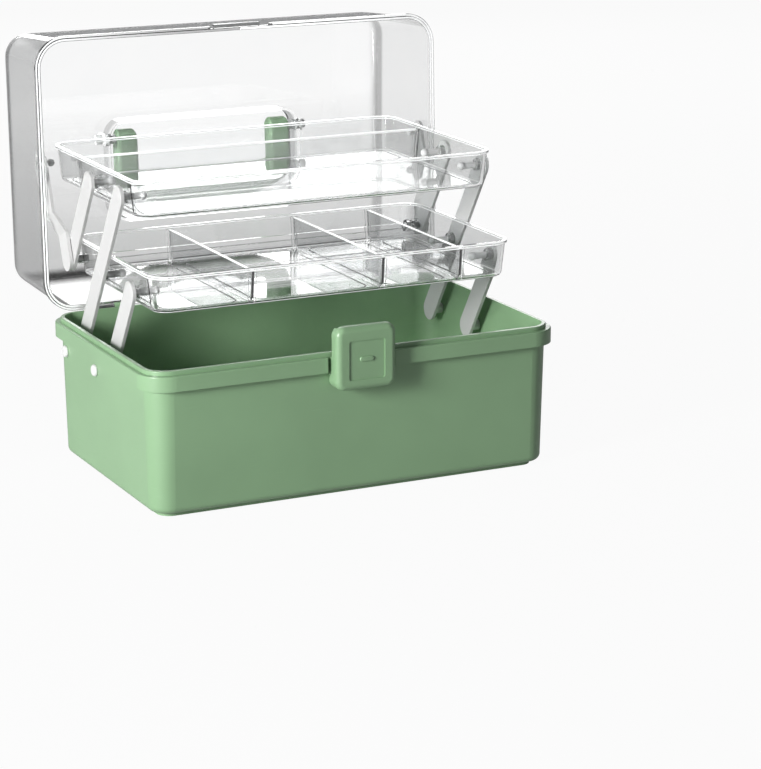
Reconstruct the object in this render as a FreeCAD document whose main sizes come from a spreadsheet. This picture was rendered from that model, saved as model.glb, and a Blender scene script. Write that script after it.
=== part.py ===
import FreeCAD, Part
import math
import os
import Sketcher

# Craft storage box: a tub with a domed lid that opens on two rear hinges and swings out two trays on
# eight side bars. Millimetres, Z up, X along the box, Y to the rear. The origin is the centre of the
# tub's footprint on the table. The box is modelled open, as it rests here.

SIZES = (
    ("tub_width", 330.0, "tub over the skirt, along X"),
    ("tub_depth", 206.0, "tub over the skirt, along Y"),
    ("tub_height", 109.0, "table to the top of the lip"),
    ("skirt_radius", 22.0, "corner radius of the skirt in plan"),
    ("skirt_height", 11.1, "height of the turned-down skirt"),
    ("skirt_wall", 2.2, "thickness of the skirt and its ledge"),
    ("ledge_width", 3.9, "flat ledge outside the lip"),
    ("lip_rise", 3.1, "lip above the ledge"),
    ("soft_edge", 0.9, "rounding of the skirt's, the lip's and the lid flange's upper edges"),
    ("body_inset", 4.8, "tub wall set in under the skirt"),
    ("body_draft", 2.3, "inward draft of one tub wall"),
    ("wall", 2.2, "moulded wall of tub and lid"),
    ("foot_height", 3.0, "height of the plinth that the tub stands on"),
    ("foot_inset", 7.0, "plinth set in from the wall"),
    ("tub_bottom_radius", 5.0, "rounding of the tub's lower edge"),
    ("lid_height", 93.5, "lid from its rim to its top"),
    ("lid_gap", 0.3, "lid rim above the ledge"),
    ("lip_clearance", 0.9, "lid wall outside the lip"),
    ("lid_draft", 4.4, "inward draft of one lid wall"),
    ("lid_radius", 22.0, "corner radius of the lid wall in plan"),
    ("lid_top_radius", 9.0, "rounding of the lid's top edge"),
    ("flange_width", 1.8, "rim flange outside the lid wall"),
    ("flange_height", 4.0, "height of the rim flange"),
    ("hinge_set_out", 1.5, "hinge axis behind the skirt face"),
    ("hinge_drop", 1.0, "hinge axis below the lip top"),
    ("hinge_inset", 47.0, "middle of a hinge in from the skirt's end"),
    ("ear_drop", 10.2, "foot of the tub's hinge ears below the hinge axis"),
    ("knuckle_rise", 13.6, "root of the lid's knuckles above its rim"),
    ("hinge_pin_radius", 1.5, "radius of the hinge pins"),
    ("barrel_radius", 3.4, "radius of the hinge barrels"),
    ("knuckle_width", 14.0, "lid knuckle along X"),
    ("ear_width", 6.0, "tub ear along X"),
    ("knuckle_gap", 0.5, "side gap between knuckle and ear"),
    ("round_gap", 0.45, "gap round a barrel"),
    ("bearing_gap", 0.05, "running fit of pins, on the radius"),
    ("lid_turn", 91.9, "opening angle of the lid, degrees"),
    ("recess_rear", 53.0, "rear edge of the handle recess from the hinge axis"),
    ("recess_length", 76.0, "handle recess along Y"),
    ("recess_width", 158.0, "handle recess along X"),
    ("recess_depth", 17.0, "depth of the handle recess"),
    ("recess_radius", 12.0, "corner radius of the recess"),
    ("handle_play", 4.5, "handle beside the recess wall"),
    ("handle_reach", 60.0, "handle pivot to the top of its grip"),
    ("handle_thickness", 14.5, "thickness of the handle"),
    ("handle_crown", 161.0, "radius of the grip's crown"),
    ("handle_shoulder", 22.0, "outer corner radius of the handle"),
    ("handle_leg", 18.0, "width of a handle leg"),
    ("handle_pivot", 116.0, "handle axis from the hinge axis"),
    ("handle_sink", 8.25, "handle axis below the lid's top"),
    ("handle_edge", 4.0, "rounding of the handle's edges"),
    ("grip_height", 24.3, "grip height at its ends"),
    ("groove_rise", 3.8, "finger grooves above the grip's lower edge"),
    ("groove_width", 31.0, "width of one finger groove"),
    ("handle_pin_radius", 3.7, "radius of the handle's pins"),
    ("handle_pin_grip", 8.0, "length of a pin inside its leg"),
    ("handle_pin_stub", 8.5, "pin stub beyond the recess wall"),
    ("pin_plate_height", 19.0, "retaining plate on the handle pin"),
    ("pin_plate_width", 9.0, "retaining plate, along the lid"),
    ("pin_plate_thickness", 3.0, "retaining plate, along X"),
    ("latch_width", 47.5, "latch along X"),
    ("latch_wall", 2.8, "thickness of the latch's walls"),
    ("latch_stand", 9.0, "latch face in front of the skirt"),
    ("latch_top", 19.8, "latch top above the lip"),
    ("latch_pin_drop", 21.0, "latch axis below the lip"),
    ("latch_pin_stand", 1.5, "latch axis in front of the skirt"),
    ("latch_pin_radius", 1.5, "radius of the latch pin"),
    ("latch_lobe", 6.2, "rounded lower end of the latch"),
    ("latch_boss", 3.3, "radius of the latch's lugs and rings"),
    ("latch_edge", 4.4, "rounding of the latch's front edges"),
    ("latch_corner", 7.0, "rounding of the latch's corners, seen from the front"),
    ("latch_recess_width", 28.5, "shallow square on the latch face"),
    ("latch_recess_height", 29.0, "shallow square, along Z"),
    ("latch_recess_depth", 0.8, "depth of the shallow square"),
    ("latch_slot", 3.0, "dark slot beside the latch"),
    ("catch_width", 38.0, "catch on the lid's front, along X"),
    ("catch_height", 7.0, "catch above the lid's rim"),
    ("catch_thickness", 2.6, "catch along Z"),
    ("catch_reach", 2.6, "catch in front of the lid wall"),
    ("arm_width", 17.0, "width of the side bars"),
    ("arm_thickness", 2.4, "thickness of the side bars"),
    ("arm_inset", 16.5, "outer face of the side bars in from the skirt's end"),
    ("arm_reach", 78.65, "pin to pin on the arms"),
    ("arm_lean", 33.0, "arms lean forward when open, degrees"),
    ("arm_base_inset", 26.2, "long arm's base pin ahead of the skirt's rear"),
    ("arm_base_drop", 24.5, "base pins below the lip"),
    ("arm_spacing", 62.0, "long arm to short arm"),
    ("link_spacing", 60.0, "long arm to tray link"),
    ("link_gap", 0.7, "lid link outside the arms"),
    ("link_crank", 8.2, "outward step of the lid link"),
    ("crank_start", 20.0, "lid link's step from its lower pin"),
    ("crank_length", 16.0, "length of the lid link's step"),
    ("lid_pin_reach", 112.65, "lid link pin from the hinge axis, closed"),
    ("lid_pin_rise", 13.0, "lid link pin above the hinge axis, closed"),
    ("link_play", 1.6, "play of the lid link round its lid pin"),
    ("arm_pin_radius", 2.5, "radius of the arm pins"),
    ("arm_pin_seat", 1.4, "depth of a pin's seat in its bar"),
    ("side_gap", 0.3, "end gaps beside the bars"),
    ("boss_radius", 4.6, "bosses round the pins on the trays"),
    ("boss_length", 12.0, "bosses and corner lugs, along X"),
    ("head_radius", 3.2, "snap heads of the tray pins"),
    ("head_reach", 9.0, "snap head inside the tray wall"),
    ("dome_radius", 4.5, "domed heads of the base pins"),
    ("dome_height", 2.4, "height of the domed heads"),
    ("collar_radius", 4.25, "collars of the base pins"),
    ("lid_pin_shaft", 1.9, "radius of the lid link pin"),
    ("lid_pin_ball", 2.9, "ball on the lid link pin"),
    ("lid_pin_cover", 0.7, "wall left outside the lid link pin"),
    ("lid_pin_ball_reach", 3.4, "ball inside the link"),
    ("tray_play", 1.6, "tray rims short of the side bars"),
    ("lower_tray_depth", 165.0, "lower tray over the rim, along Y"),
    ("upper_tray_depth", 180.0, "upper tray over the rim, along Y"),
    ("tray_height", 28.0, "height of a tray"),
    ("tray_draft", 3.0, "inward draft of one tray wall"),
    ("tray_wall", 1.8, "wall of the trays"),
    ("tray_radius", 16.0, "corner radius of the trays"),
    ("tray_bottom_radius", 4.0, "rounding of a tray's lower edge"),
    ("rim_width", 1.2, "bead outside the tray wall"),
    ("rim_height", 2.0, "height of the rim bead"),
    ("lower_tray_lead", 17.6, "middle of the lower tray ahead of its long-arm pin"),
    ("lower_pin_sink", 17.8, "lower tray's pins below its rim"),
    ("upper_tray_lag", 62.9, "middle of the upper tray behind its long-arm pin"),
    ("upper_pin_sink", 14.7, "upper tray's pins below its rim"),
    ("divider_thickness", 2.0, "thickness of the dividers"),
    ("divider_drop", 2.2, "dividers below the rim"),
    ("divider_gap", 0.3, "play of a divider in the tray"),
    ("slot_rib", 1.5, "ribs that hold a divider"),
    ("cross_divider_1", -67.0, "first cross divider along X"),
    ("cross_divider_2", 37.0, "second cross divider along X"),
    ("cross_divider_3", 101.0, "third cross divider along X"),
    ("long_divider_y", 33.0, "lengthwise divider behind the tray's middle"),
)

SIDES = {"left": -1, "right": 1}


class Size:
    """A length with its number and the sheet expression that it comes from."""

    def __init__(self, value, text=None):
        self.value = float(value)
        self.text = repr(float(value)) if text is None else text

    def __add__(self, other):
        other = as_size(other)
        return Size(self.value + other.value, f"({self.text} + {other.text})")

    def __sub__(self, other):
        other = as_size(other)
        return Size(self.value - other.value, f"({self.text} - {other.text})")

    def __mul__(self, other):
        other = as_size(other)
        return Size(self.value * other.value, f"({self.text} * {other.text})")

    def __truediv__(self, other):
        other = as_size(other)
        return Size(self.value / other.value, f"({self.text} / {other.text})")

    def __neg__(self):
        return Size(-self.value, f"(0 - {self.text})")

    def __radd__(self, other):
        return as_size(other) + self

    def __rsub__(self, other):
        return as_size(other) - self

    def __rmul__(self, other):
        return as_size(other) * self


class Sheet:
    """The driving dimensions, each read as a Size by its name."""

    def __init__(self, document):
        self.cells = document.addObject("Spreadsheet::Sheet", "Sizes")
        for row, (name, value, meaning) in enumerate(SIZES, start=1):
            self.cells.set(f"A{row}", str(value))
            self.cells.setAlias(f"A{row}", name)
            self.cells.set(f"B{row}", meaning)
        document.recompute()

    def __getattr__(self, name):
        return Size(self.cells.get(name), f"Sizes.{name}")


def as_size(number):
    return number if isinstance(number, Size) else Size(number)


def sine(angle):
    return Size(math.sin(math.radians(angle.value)), f"sin({angle.text} * 1 deg)")


def cosine(angle):
    return Size(math.cos(math.radians(angle.value)), f"cos({angle.text} * 1 deg)")


doc = FreeCAD.newDocument("craft_box")
size = Sheet(doc)
TOLERANCE = 0.01
ORIGIN = FreeCAD.Vector(0, 0, 0)
X_AXIS = FreeCAD.Vector(1, 0, 0)
Z_AXIS = FreeCAD.Vector(0, 0, 1)


# Sketches and features

def new_body(name):
    body = doc.addObject("PartDesign::Body", name)
    body.Label = name
    return body


def bind(item, prop, length):
    setattr(item, prop, as_size(length).value)
    item.setExpression(prop, as_size(length).text)


def new_sketch(body, role, offset=0.0):
    sketch = body.newObject("Sketcher::SketchObject", f"{body.Label}_sketch")
    plane = [item for item in body.Origin.OriginFeatures if item.Role == role][0]
    sketch.AttachmentSupport = [(plane, "")]
    sketch.MapMode = "FlatFace"
    sketch.setExpression("AttachmentOffset.Base.z", as_size(offset).text)
    return sketch


def constrain(sketch, kind, length, *where):
    length = as_size(length)
    index = sketch.addConstraint(Sketcher.Constraint(kind, *where, length.value))
    sketch.setExpression(f"Constraints[{index}]", length.text)


def curve_between(start, end, radius):
    """A line, or the short arc that turns left for a radius above 0 and right for one below."""
    if radius is None:
        return Part.LineSegment(start, end)
    chord = end - start
    middle = (start + end) * 0.5
    normal = FreeCAD.Vector(-chord.y, chord.x, 0).normalize()
    height = math.sqrt(max(radius ** 2 - (chord.Length / 2) ** 2, 0.0))
    side = 1 if radius > 0 else -1
    centre = middle + normal * (height * side)
    crown = centre - normal * (abs(radius) * side)
    return Part.Arc(start, crown, end) if side > 0 else Part.Arc(end, crown, start)


def outline(sketch, points, radii=None):
    """A closed outline through the points; radii gives the arcs by the number of their first point."""
    radii = radii or {}
    corners = [FreeCAD.Vector(as_size(u).value, as_size(v).value, 0) for u, v in points]
    count = len(corners)
    starts, ends = [], []
    for number in range(count):
        start = corners[number]
        end = corners[(number + 1) % count]
        radius = radii.get(number)
        curve = curve_between(start, end, None if radius is None else radius.value)
        item = sketch.addGeometry(curve, False)
        forward = radius is None or radius.value > 0
        starts.append((item, 1 if forward else 2))
        ends.append((item, 2 if forward else 1))
        if radius is not None:
            absolute = radius if radius.value > 0 else -radius
            constrain(sketch, "Radius", absolute, item)
    for number, (u, v) in enumerate(points):
        before = ends[number - 1]
        sketch.addConstraint(Sketcher.Constraint("Coincident", *before, *starts[number]))
        constrain(sketch, "DistanceX", u, -1, 1, *starts[number])
        constrain(sketch, "DistanceY", v, -1, 1, *starts[number])


def circle(sketch, u, v, radius):
    centre = FreeCAD.Vector(as_size(u).value, as_size(v).value, 0)
    item = sketch.addGeometry(Part.Circle(centre, Z_AXIS, as_size(radius).value), False)
    constrain(sketch, "DistanceX", u, -1, 1, item, 3)
    constrain(sketch, "DistanceY", v, -1, 1, item, 3)
    constrain(sketch, "Radius", radius, item)


def rectangle(sketch, u0, v0, u1, v1):
    outline(sketch, ((u0, v0), (u1, v0), (u1, v1), (u0, v1)))


def rounded_rectangle(sketch, width, depth, radius, u=0.0, v=0.0):
    """A rectangle round (u, v) with four quarter-circle corners, anticlockwise from the lower edge."""
    east, north = as_size(width) / 2, as_size(depth) / 2
    near_east, near_north = east - radius, north - radius
    around = (
        (-near_east, -north), (near_east, -north), (east, -near_north), (east, near_north),
        (near_east, north), (-near_east, north), (-east, near_north), (-east, -near_north),
    )
    points = [(as_size(u) + a, as_size(v) + b) for a, b in around]
    outline(sketch, points, {number: as_size(radius) for number in (1, 3, 5, 7)})


def bar_outline(sketch, width, reach):
    """A bar with round ends, from (0, 0) up to (0, reach)."""
    half = width / 2
    points = ((-half, 0), (0, -half), (half, 0), (half, reach), (0, reach + half), (-half, reach))
    outline(sketch, points, {0: half, 1: half, 3: half, 4: half})


def extrude(body, kind, sketch, length, symmetric=False, backward=False):
    feature = body.newObject(f"PartDesign::{kind}", f"{body.Label}_{kind.lower()}")
    feature.Profile = sketch
    bind(feature, "Length", length)
    feature.SideType = "Symmetric" if symmetric else "One side"
    feature.Reversed = backward
    doc.recompute()
    return feature


def pad(body, sketch, length, **options):
    return extrude(body, "Pad", sketch, length, **options)


def pocket(body, sketch, length, **options):
    """A pocket that must take something away."""
    before = body.Shape.Volume
    feature = extrude(body, "Pocket", sketch, length, **options)
    if body.Shape.Volume > before - TOLERANCE:
        raise ValueError(f"{feature.Name} cuts nothing")
    return feature


def drafted(body, kind, sketch, height, draft):
    """A pad or pocket that rises from its sketch while each side moves out by the draft."""
    before = body.Shape.Volume if body.Tip else 0.0
    feature = body.newObject(f"PartDesign::{kind}", f"{body.Label}_drafted")
    feature.Profile = sketch
    bind(feature, "Length", height)
    feature.Reversed = kind == "Pocket"
    slope = as_size(draft) / height
    feature.TaperAngle = math.degrees(math.atan(slope.value))
    feature.setExpression("TaperAngle", f"atan({slope.text})")
    doc.recompute()
    if (body.Shape.Volume > before) != (kind == "Pad"):
        raise ValueError(f"{feature.Name} goes the wrong way")
    return feature


def revolve(body, sketch):
    feature = body.newObject("PartDesign::Revolution", f"{body.Label}_revolution")
    feature.Profile = sketch
    feature.ReferenceAxis = (sketch, ["H_Axis"])
    bind(feature, "Angle", 360)
    doc.recompute()
    return feature


def fillet(body, base, radius, wanted):
    """Rounds the edges of a feature that the test picks."""
    names = [f"Edge{n}" for n, edge in enumerate(base.Shape.Edges, start=1) if wanted(edge)]
    if not names:
        raise ValueError(f"no edge to round on {body.Label}")
    feature = body.newObject("PartDesign::Fillet", f"{body.Label}_fillet")
    feature.Base = (base, names)
    bind(feature, "Radius", radius)
    doc.recompute()
    return feature


def on_plane(axis, place):
    """A test for edges that lie in the plane across an axis at a place."""
    place = as_size(place).value
    return lambda edge: all(abs(getattr(point, axis) - place) < TOLERANCE for point in edge.discretize(5))


def flat_at(z):
    """A test for edges that lie level at height z."""
    return on_plane("z", z)


def outer_edge(z, reach):
    """A test for level edges at height z with a point farther out along X than reach."""
    level = flat_at(z)
    return lambda edge: level(edge) and max(abs(point.x) for point in edge.discretize(5)) > reach


# Places worked out from the sizes

half_width = size.tub_width / 2
half_depth = size.tub_depth / 2
ledge_z = size.tub_height - size.lip_rise
skirt_low = ledge_z - size.skirt_height
hinge_y = half_depth + size.hinge_set_out
hinge_z = size.tub_height - size.hinge_drop
lip_half_width = half_width - size.ledge_width
lip_half_depth = half_depth - size.ledge_width
lid_low = ledge_z + size.lid_gap
lid_top = lid_low + size.lid_height
lid_inner_half_width = lip_half_width + size.lip_clearance
lid_inner_half_depth = lip_half_depth + size.lip_clearance
arm_base_y = half_depth - size.arm_base_inset
arm_base_z = size.tub_height - size.arm_base_drop
step_forward = size.arm_reach * sine(size.arm_lean)
step_up = size.arm_reach * cosine(size.arm_lean)
middle_y = arm_base_y - step_forward
middle_z = arm_base_z + step_up
top_y = middle_y - step_forward
top_z = middle_z + step_up
lower_rim = middle_z + size.lower_pin_sink
upper_rim = top_z + size.upper_pin_sink
lower_floor = lower_rim - size.tray_height
upper_floor = upper_rim - size.tray_height
link_y = middle_y + size.link_spacing
lid_pin_y = hinge_y - size.lid_pin_reach
lid_pin_z = hinge_z + size.lid_pin_rise
handle_y = hinge_y - size.handle_pivot
handle_z = lid_top - size.handle_sink
latch_pin_z = size.tub_height - size.latch_pin_drop
arm_face = half_width - size.arm_inset
arm_inner_face = arm_face - size.arm_thickness
tray_half = arm_inner_face - size.tray_play
lower_tray_y = middle_y - size.lower_tray_lead
upper_tray_y = top_y + size.upper_tray_lag
handle_half = size.recess_width / 2 - size.handle_play
latch_front = half_depth + size.latch_stand
latch_pin_front = half_depth + size.latch_pin_stand
hinge_centre = FreeCAD.Vector(0, hinge_y.value, hinge_z.value)
lid_rotation = FreeCAD.Rotation(X_AXIS, -size.lid_turn.value)
OPEN_LID = FreeCAD.Placement(ORIGIN, lid_rotation, hinge_centre)


def on_open_lid(x, y, z):
    """The place of a point of the closed lid once the lid is open."""
    point = FreeCAD.Vector(as_size(x).value, as_size(y).value, as_size(z).value)
    return OPEN_LID.multiply(FreeCAD.Placement(point, FreeCAD.Rotation()))


def tub_wall_half(half_size, z):
    """Outer half size of the drafted tub wall at height z."""
    top = half_size - size.body_inset
    return top - size.body_draft * (ledge_z - z) / (ledge_z - size.foot_height)


def lid_wall_half(inner_half, z):
    """Outer half size of the drafted lid wall at height z of the closed lid."""
    return inner_half + size.wall - size.lid_draft * (z - lid_low) / size.lid_height


def tray_wall_half(rim_half, height):
    """Outer half size of a tray wall at a height above its floor."""
    return rim_half - size.rim_width - size.tray_draft * (size.tray_height - height) / size.tray_height


def hinge_places():
    """Left edges along X of the four ears and the two knuckles."""
    ears, knuckles = [], []
    for side in (-1, 1):
        centre = (half_width - size.hinge_inset) * side
        knuckle = centre - size.knuckle_width / 2
        knuckles.append(knuckle)
        ears.append(knuckle - size.knuckle_gap - size.ear_width)
        ears.append(knuckle + size.knuckle_width + size.knuckle_gap)
    return ears, knuckles


EARS, KNUCKLES = hinge_places()


# Tub

def tub_outer(body):
    base = new_sketch(body, "XY_Plane", size.foot_height)
    width = tub_wall_half(half_width, size.foot_height) * 2
    depth = tub_wall_half(half_depth, size.foot_height) * 2
    rounded_rectangle(base, width, depth, size.skirt_radius - size.body_inset - size.body_draft)
    outer = drafted(body, "Pad", base, ledge_z - size.foot_height, size.body_draft)
    fillet(body, outer, size.tub_bottom_radius, flat_at(size.foot_height))


def tub_skirt(body):
    block = new_sketch(body, "XY_Plane", skirt_low)
    rounded_rectangle(block, size.tub_width, size.tub_depth, size.skirt_radius)
    skirt = pad(body, block, size.skirt_height)
    fillet(body, skirt, size.soft_edge, flat_at(ledge_z))
    groove = new_sketch(body, "XY_Plane", skirt_low)
    inner_radius = size.skirt_radius - size.skirt_wall
    inner_width = size.tub_width - 2 * size.skirt_wall
    inner_depth = size.tub_depth - 2 * size.skirt_wall
    rounded_rectangle(groove, inner_width, inner_depth, inner_radius)
    body_radius = size.skirt_radius - size.body_inset
    body_width = size.tub_width - 2 * size.body_inset
    body_depth = size.tub_depth - 2 * size.body_inset
    rounded_rectangle(groove, body_width, body_depth, body_radius)
    pocket(body, groove, size.skirt_height - size.skirt_wall, backward=True)
    lip = new_sketch(body, "XY_Plane", ledge_z)
    lip_radius = size.skirt_radius - size.ledge_width
    rounded_rectangle(lip, lip_half_width * 2, lip_half_depth * 2, lip_radius)
    lip_block = pad(body, lip, size.lip_rise)
    fillet(body, lip_block, size.soft_edge, flat_at(size.tub_height))


def plinth_outline(sketch, inset):
    """The low plinth's outline, set in by a further inset."""
    reach = size.foot_inset + inset
    width = (tub_wall_half(half_width, size.foot_height) - reach) * 2
    depth = (tub_wall_half(half_depth, size.foot_height) - reach) * 2
    rounded_rectangle(sketch, width, depth, size.skirt_radius - size.body_inset - reach)


def tub_foot(body):
    plinth = new_sketch(body, "XY_Plane")
    plinth_outline(plinth, as_size(0.0))
    pad(body, plinth, size.foot_height + size.wall / 2)


def tub_cavity(body):
    inside = size.foot_height + size.wall
    rise = size.tub_height - inside
    slope = size.body_draft / (ledge_z - size.foot_height)
    base = new_sketch(body, "XY_Plane", inside)
    width = (tub_wall_half(half_width, inside) - size.wall) * 2
    depth = (tub_wall_half(half_depth, inside) - size.wall) * 2
    radius = size.skirt_radius - size.body_inset - size.body_draft - size.wall
    rounded_rectangle(base, width, depth, radius)
    cut = drafted(body, "Pocket", base, rise, slope * rise)
    fillet(body, cut, size.tub_bottom_radius - size.wall, flat_at(inside))
    well = new_sketch(body, "XY_Plane", size.wall)
    plinth_outline(well, size.wall)
    pocket(body, well, size.foot_height, backward=True)


def tub_latch_seat(body):
    """The gap in the skirt at the latch, and two lugs for the latch pin."""
    gap_half = size.latch_width / 2 + size.latch_slot
    gap = new_sketch(body, "XY_Plane", skirt_low)
    rectangle(gap, -gap_half, -half_depth - size.wall, gap_half, -lip_half_depth)
    pocket(body, gap, size.skirt_height, backward=True)
    wall_y = -tub_wall_half(half_depth, latch_pin_z) + size.wall / 2
    for side in (-1, 1):
        lug_near = latch_ring_end + size.knuckle_gap
        start = lug_near if side > 0 else -(lug_near + size.ear_width)
        lug = new_sketch(body, "YZ_Plane", start)
        tongue(lug, -latch_pin_front, latch_pin_z, size.latch_boss, wall_y)
        pad(body, lug, size.ear_width)
    bore = new_sketch(body, "YZ_Plane")
    circle(bore, -latch_pin_front, latch_pin_z, size.latch_pin_radius)
    pocket(body, bore, latch_pin_length, symmetric=True)


def tongue(sketch, y, z, radius, root_y):
    """A lug round an axis at (y, z), with two level edges back to root_y."""
    way = radius if as_size(root_y).value > as_size(y).value else -radius
    points = ((y, z - way), (root_y, z - way), (root_y, z + way), (y, z + way), (y - way, z))
    outline(sketch, points, {3: radius, 4: radius})


def tub_hinge_ears(body):
    """Four ears behind the skirt, with clearances for the lid's knuckles between them."""
    low = hinge_z - size.ear_drop
    root = half_depth - size.skirt_wall / 2
    rear = hinge_y + size.barrel_radius
    for start in KNUCKLES:
        notch = new_sketch(body, "YZ_Plane", start - size.knuckle_gap)
        circle(notch, hinge_y, hinge_z, size.barrel_radius + size.round_gap)
        pocket(body, notch, size.knuckle_width + 2 * size.knuckle_gap, backward=True)
    for start in EARS:
        ear = new_sketch(body, "YZ_Plane", start)
        foot = (root, low)
        slope = (hinge_y - size.barrel_radius + size.skirt_wall, low)
        back = (rear, hinge_z)
        crown = (hinge_y, hinge_z + size.barrel_radius)
        front = (hinge_y - size.barrel_radius, hinge_z)
        base = (root, ledge_z - size.skirt_wall / 2)
        outline(ear, (foot, slope, back, crown, front, base), {2: size.barrel_radius, 3: size.barrel_radius})
        pad(body, ear, size.ear_width)
    bore = new_sketch(body, "YZ_Plane")
    circle(bore, hinge_y, hinge_z, size.hinge_pin_radius)
    pocket(body, bore, size.tub_width, symmetric=True)


def tub_pin_holes(body):
    holes = new_sketch(body, "YZ_Plane")
    for y in (arm_base_y, arm_base_y - size.arm_spacing):
        circle(holes, y, arm_base_z, size.arm_pin_radius + size.bearing_gap)
    pocket(body, holes, size.tub_width, symmetric=True)


latch_ring_end = size.latch_width / 4
latch_pin_length = 2 * (latch_ring_end + size.knuckle_gap + size.ear_width)


def base_tub():
    body = new_body("base_tub")
    tub_outer(body)
    tub_skirt(body)
    tub_foot(body)
    tub_cavity(body)
    tub_latch_seat(body)
    tub_hinge_ears(body)
    tub_pin_holes(body)


# Lid, modelled closed and placed open

def lid_dome(body):
    base = new_sketch(body, "XY_Plane", lid_low)
    width = (lid_inner_half_width + size.wall) * 2
    depth = (lid_inner_half_depth + size.wall) * 2
    rounded_rectangle(base, width, depth, size.lid_radius)
    drafted(body, "Pad", base, size.lid_height, -size.lid_draft)
    flange = new_sketch(body, "XY_Plane", lid_low)
    flange_radius = size.lid_radius + size.flange_width
    rounded_rectangle(flange, width + 2 * size.flange_width, depth + 2 * size.flange_width, flange_radius)
    band = pad(body, flange, size.flange_height)
    fillet(body, band, size.soft_edge, outer_edge(lid_low + size.flange_height, width.value / 2))


def lid_cavity(body):
    rise = size.lid_height - size.wall
    slope = size.lid_draft / size.lid_height
    base = new_sketch(body, "XY_Plane", lid_low)
    rounded_rectangle(base, lid_inner_half_width * 2, lid_inner_half_depth * 2, size.lid_radius - size.wall)
    cut = drafted(body, "Pocket", base, rise, -slope * rise)
    inner = fillet(body, cut, size.lid_top_radius - size.wall, flat_at(lid_top - size.wall))
    fillet(body, inner, size.lid_top_radius, flat_at(lid_top))


def lid_recess(body):
    """The handle's recess: a cup hung under the top, then hollowed."""
    centre_y = hinge_y - size.recess_rear - size.recess_length / 2
    floor = lid_top - size.recess_depth
    cup = new_sketch(body, "XY_Plane", floor - size.wall)
    cup_width = size.recess_width + 2 * size.wall
    cup_length = size.recess_length + 2 * size.wall
    rounded_rectangle(cup, cup_width, cup_length, size.recess_radius + size.wall, 0.0, centre_y)
    pad(body, cup, size.recess_depth + size.wall / 2)
    hollow = new_sketch(body, "XY_Plane", floor)
    rounded_rectangle(hollow, size.recess_width, size.recess_length, size.recess_radius, 0.0, centre_y)
    pocket(body, hollow, size.recess_depth, backward=True)
    bore = new_sketch(body, "YZ_Plane")
    circle(bore, handle_y, handle_z, size.handle_pin_radius)
    pocket(body, bore, cup_width + size.wall, symmetric=True)


def lid_knuckles(body):
    """Clearances for the tub's ears, and two knuckles on the rear wall."""
    wall_y = lid_inner_half_depth + size.wall / 2
    for start in EARS:
        gap = new_sketch(body, "YZ_Plane", start - size.knuckle_gap)
        circle(gap, hinge_y, hinge_z, size.barrel_radius + size.round_gap)
        pocket(body, gap, size.ear_width + 2 * size.knuckle_gap, backward=True)
        corner = new_sketch(body, "YZ_Plane", start - size.knuckle_gap)
        far = hinge_y + size.barrel_radius
        rectangle(corner, half_depth - size.round_gap, lid_low - size.wall, far, hinge_z)
        extrude(body, "Pocket", corner, size.ear_width + 2 * size.knuckle_gap, backward=True)
    for start in KNUCKLES:
        knuckle = new_sketch(body, "YZ_Plane", start)
        front = (hinge_y - size.barrel_radius, hinge_z)
        bottom = (hinge_y, hinge_z - size.barrel_radius)
        back = (hinge_y + size.barrel_radius, hinge_z)
        root_top = (wall_y, lid_low + size.knuckle_rise)
        outline(knuckle, (front, bottom, back, root_top), {0: size.barrel_radius, 1: size.barrel_radius})
        pad(body, knuckle, size.knuckle_width)
    bore = new_sketch(body, "YZ_Plane")
    circle(bore, hinge_y, hinge_z, size.hinge_pin_radius + size.bearing_gap)
    pocket(body, bore, size.tub_width, symmetric=True)


def lid_catch(body):
    """The flange ends beside the latch, and a ledge stands out for its hook."""
    wall_y = lid_wall_half(lid_inner_half_depth, lid_low)
    gap_half = size.latch_width / 2 + size.lip_clearance
    gap = new_sketch(body, "XY_Plane", lid_low)
    rectangle(gap, -gap_half, -wall_y - size.flange_width - size.wall, gap_half, -wall_y)
    pocket(body, gap, size.flange_height, backward=True)
    catch = new_sketch(body, "XY_Plane", lid_low + size.catch_height)
    catch_half = size.catch_width / 2
    rectangle(catch, -catch_half, -wall_y - size.catch_reach, catch_half, -wall_y + size.wall / 2)
    pad(body, catch, size.catch_thickness)


def lid_link_holes(body):
    seats = new_sketch(body, "YZ_Plane")
    circle(seats, lid_pin_y, lid_pin_z, size.lid_pin_shaft)
    seat_face = lid_wall_half(lid_inner_half_width, lid_pin_z) - size.lid_pin_cover
    pocket(body, seats, seat_face * 2, symmetric=True)


def lid_shell():
    body = new_body("lid_shell")
    lid_dome(body)
    lid_cavity(body)
    lid_recess(body)
    lid_knuckles(body)
    lid_catch(body)
    lid_link_holes(body)
    body.Placement = OPEN_LID


# Handle, folded flat into the recess of the closed lid and turned with it

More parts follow.
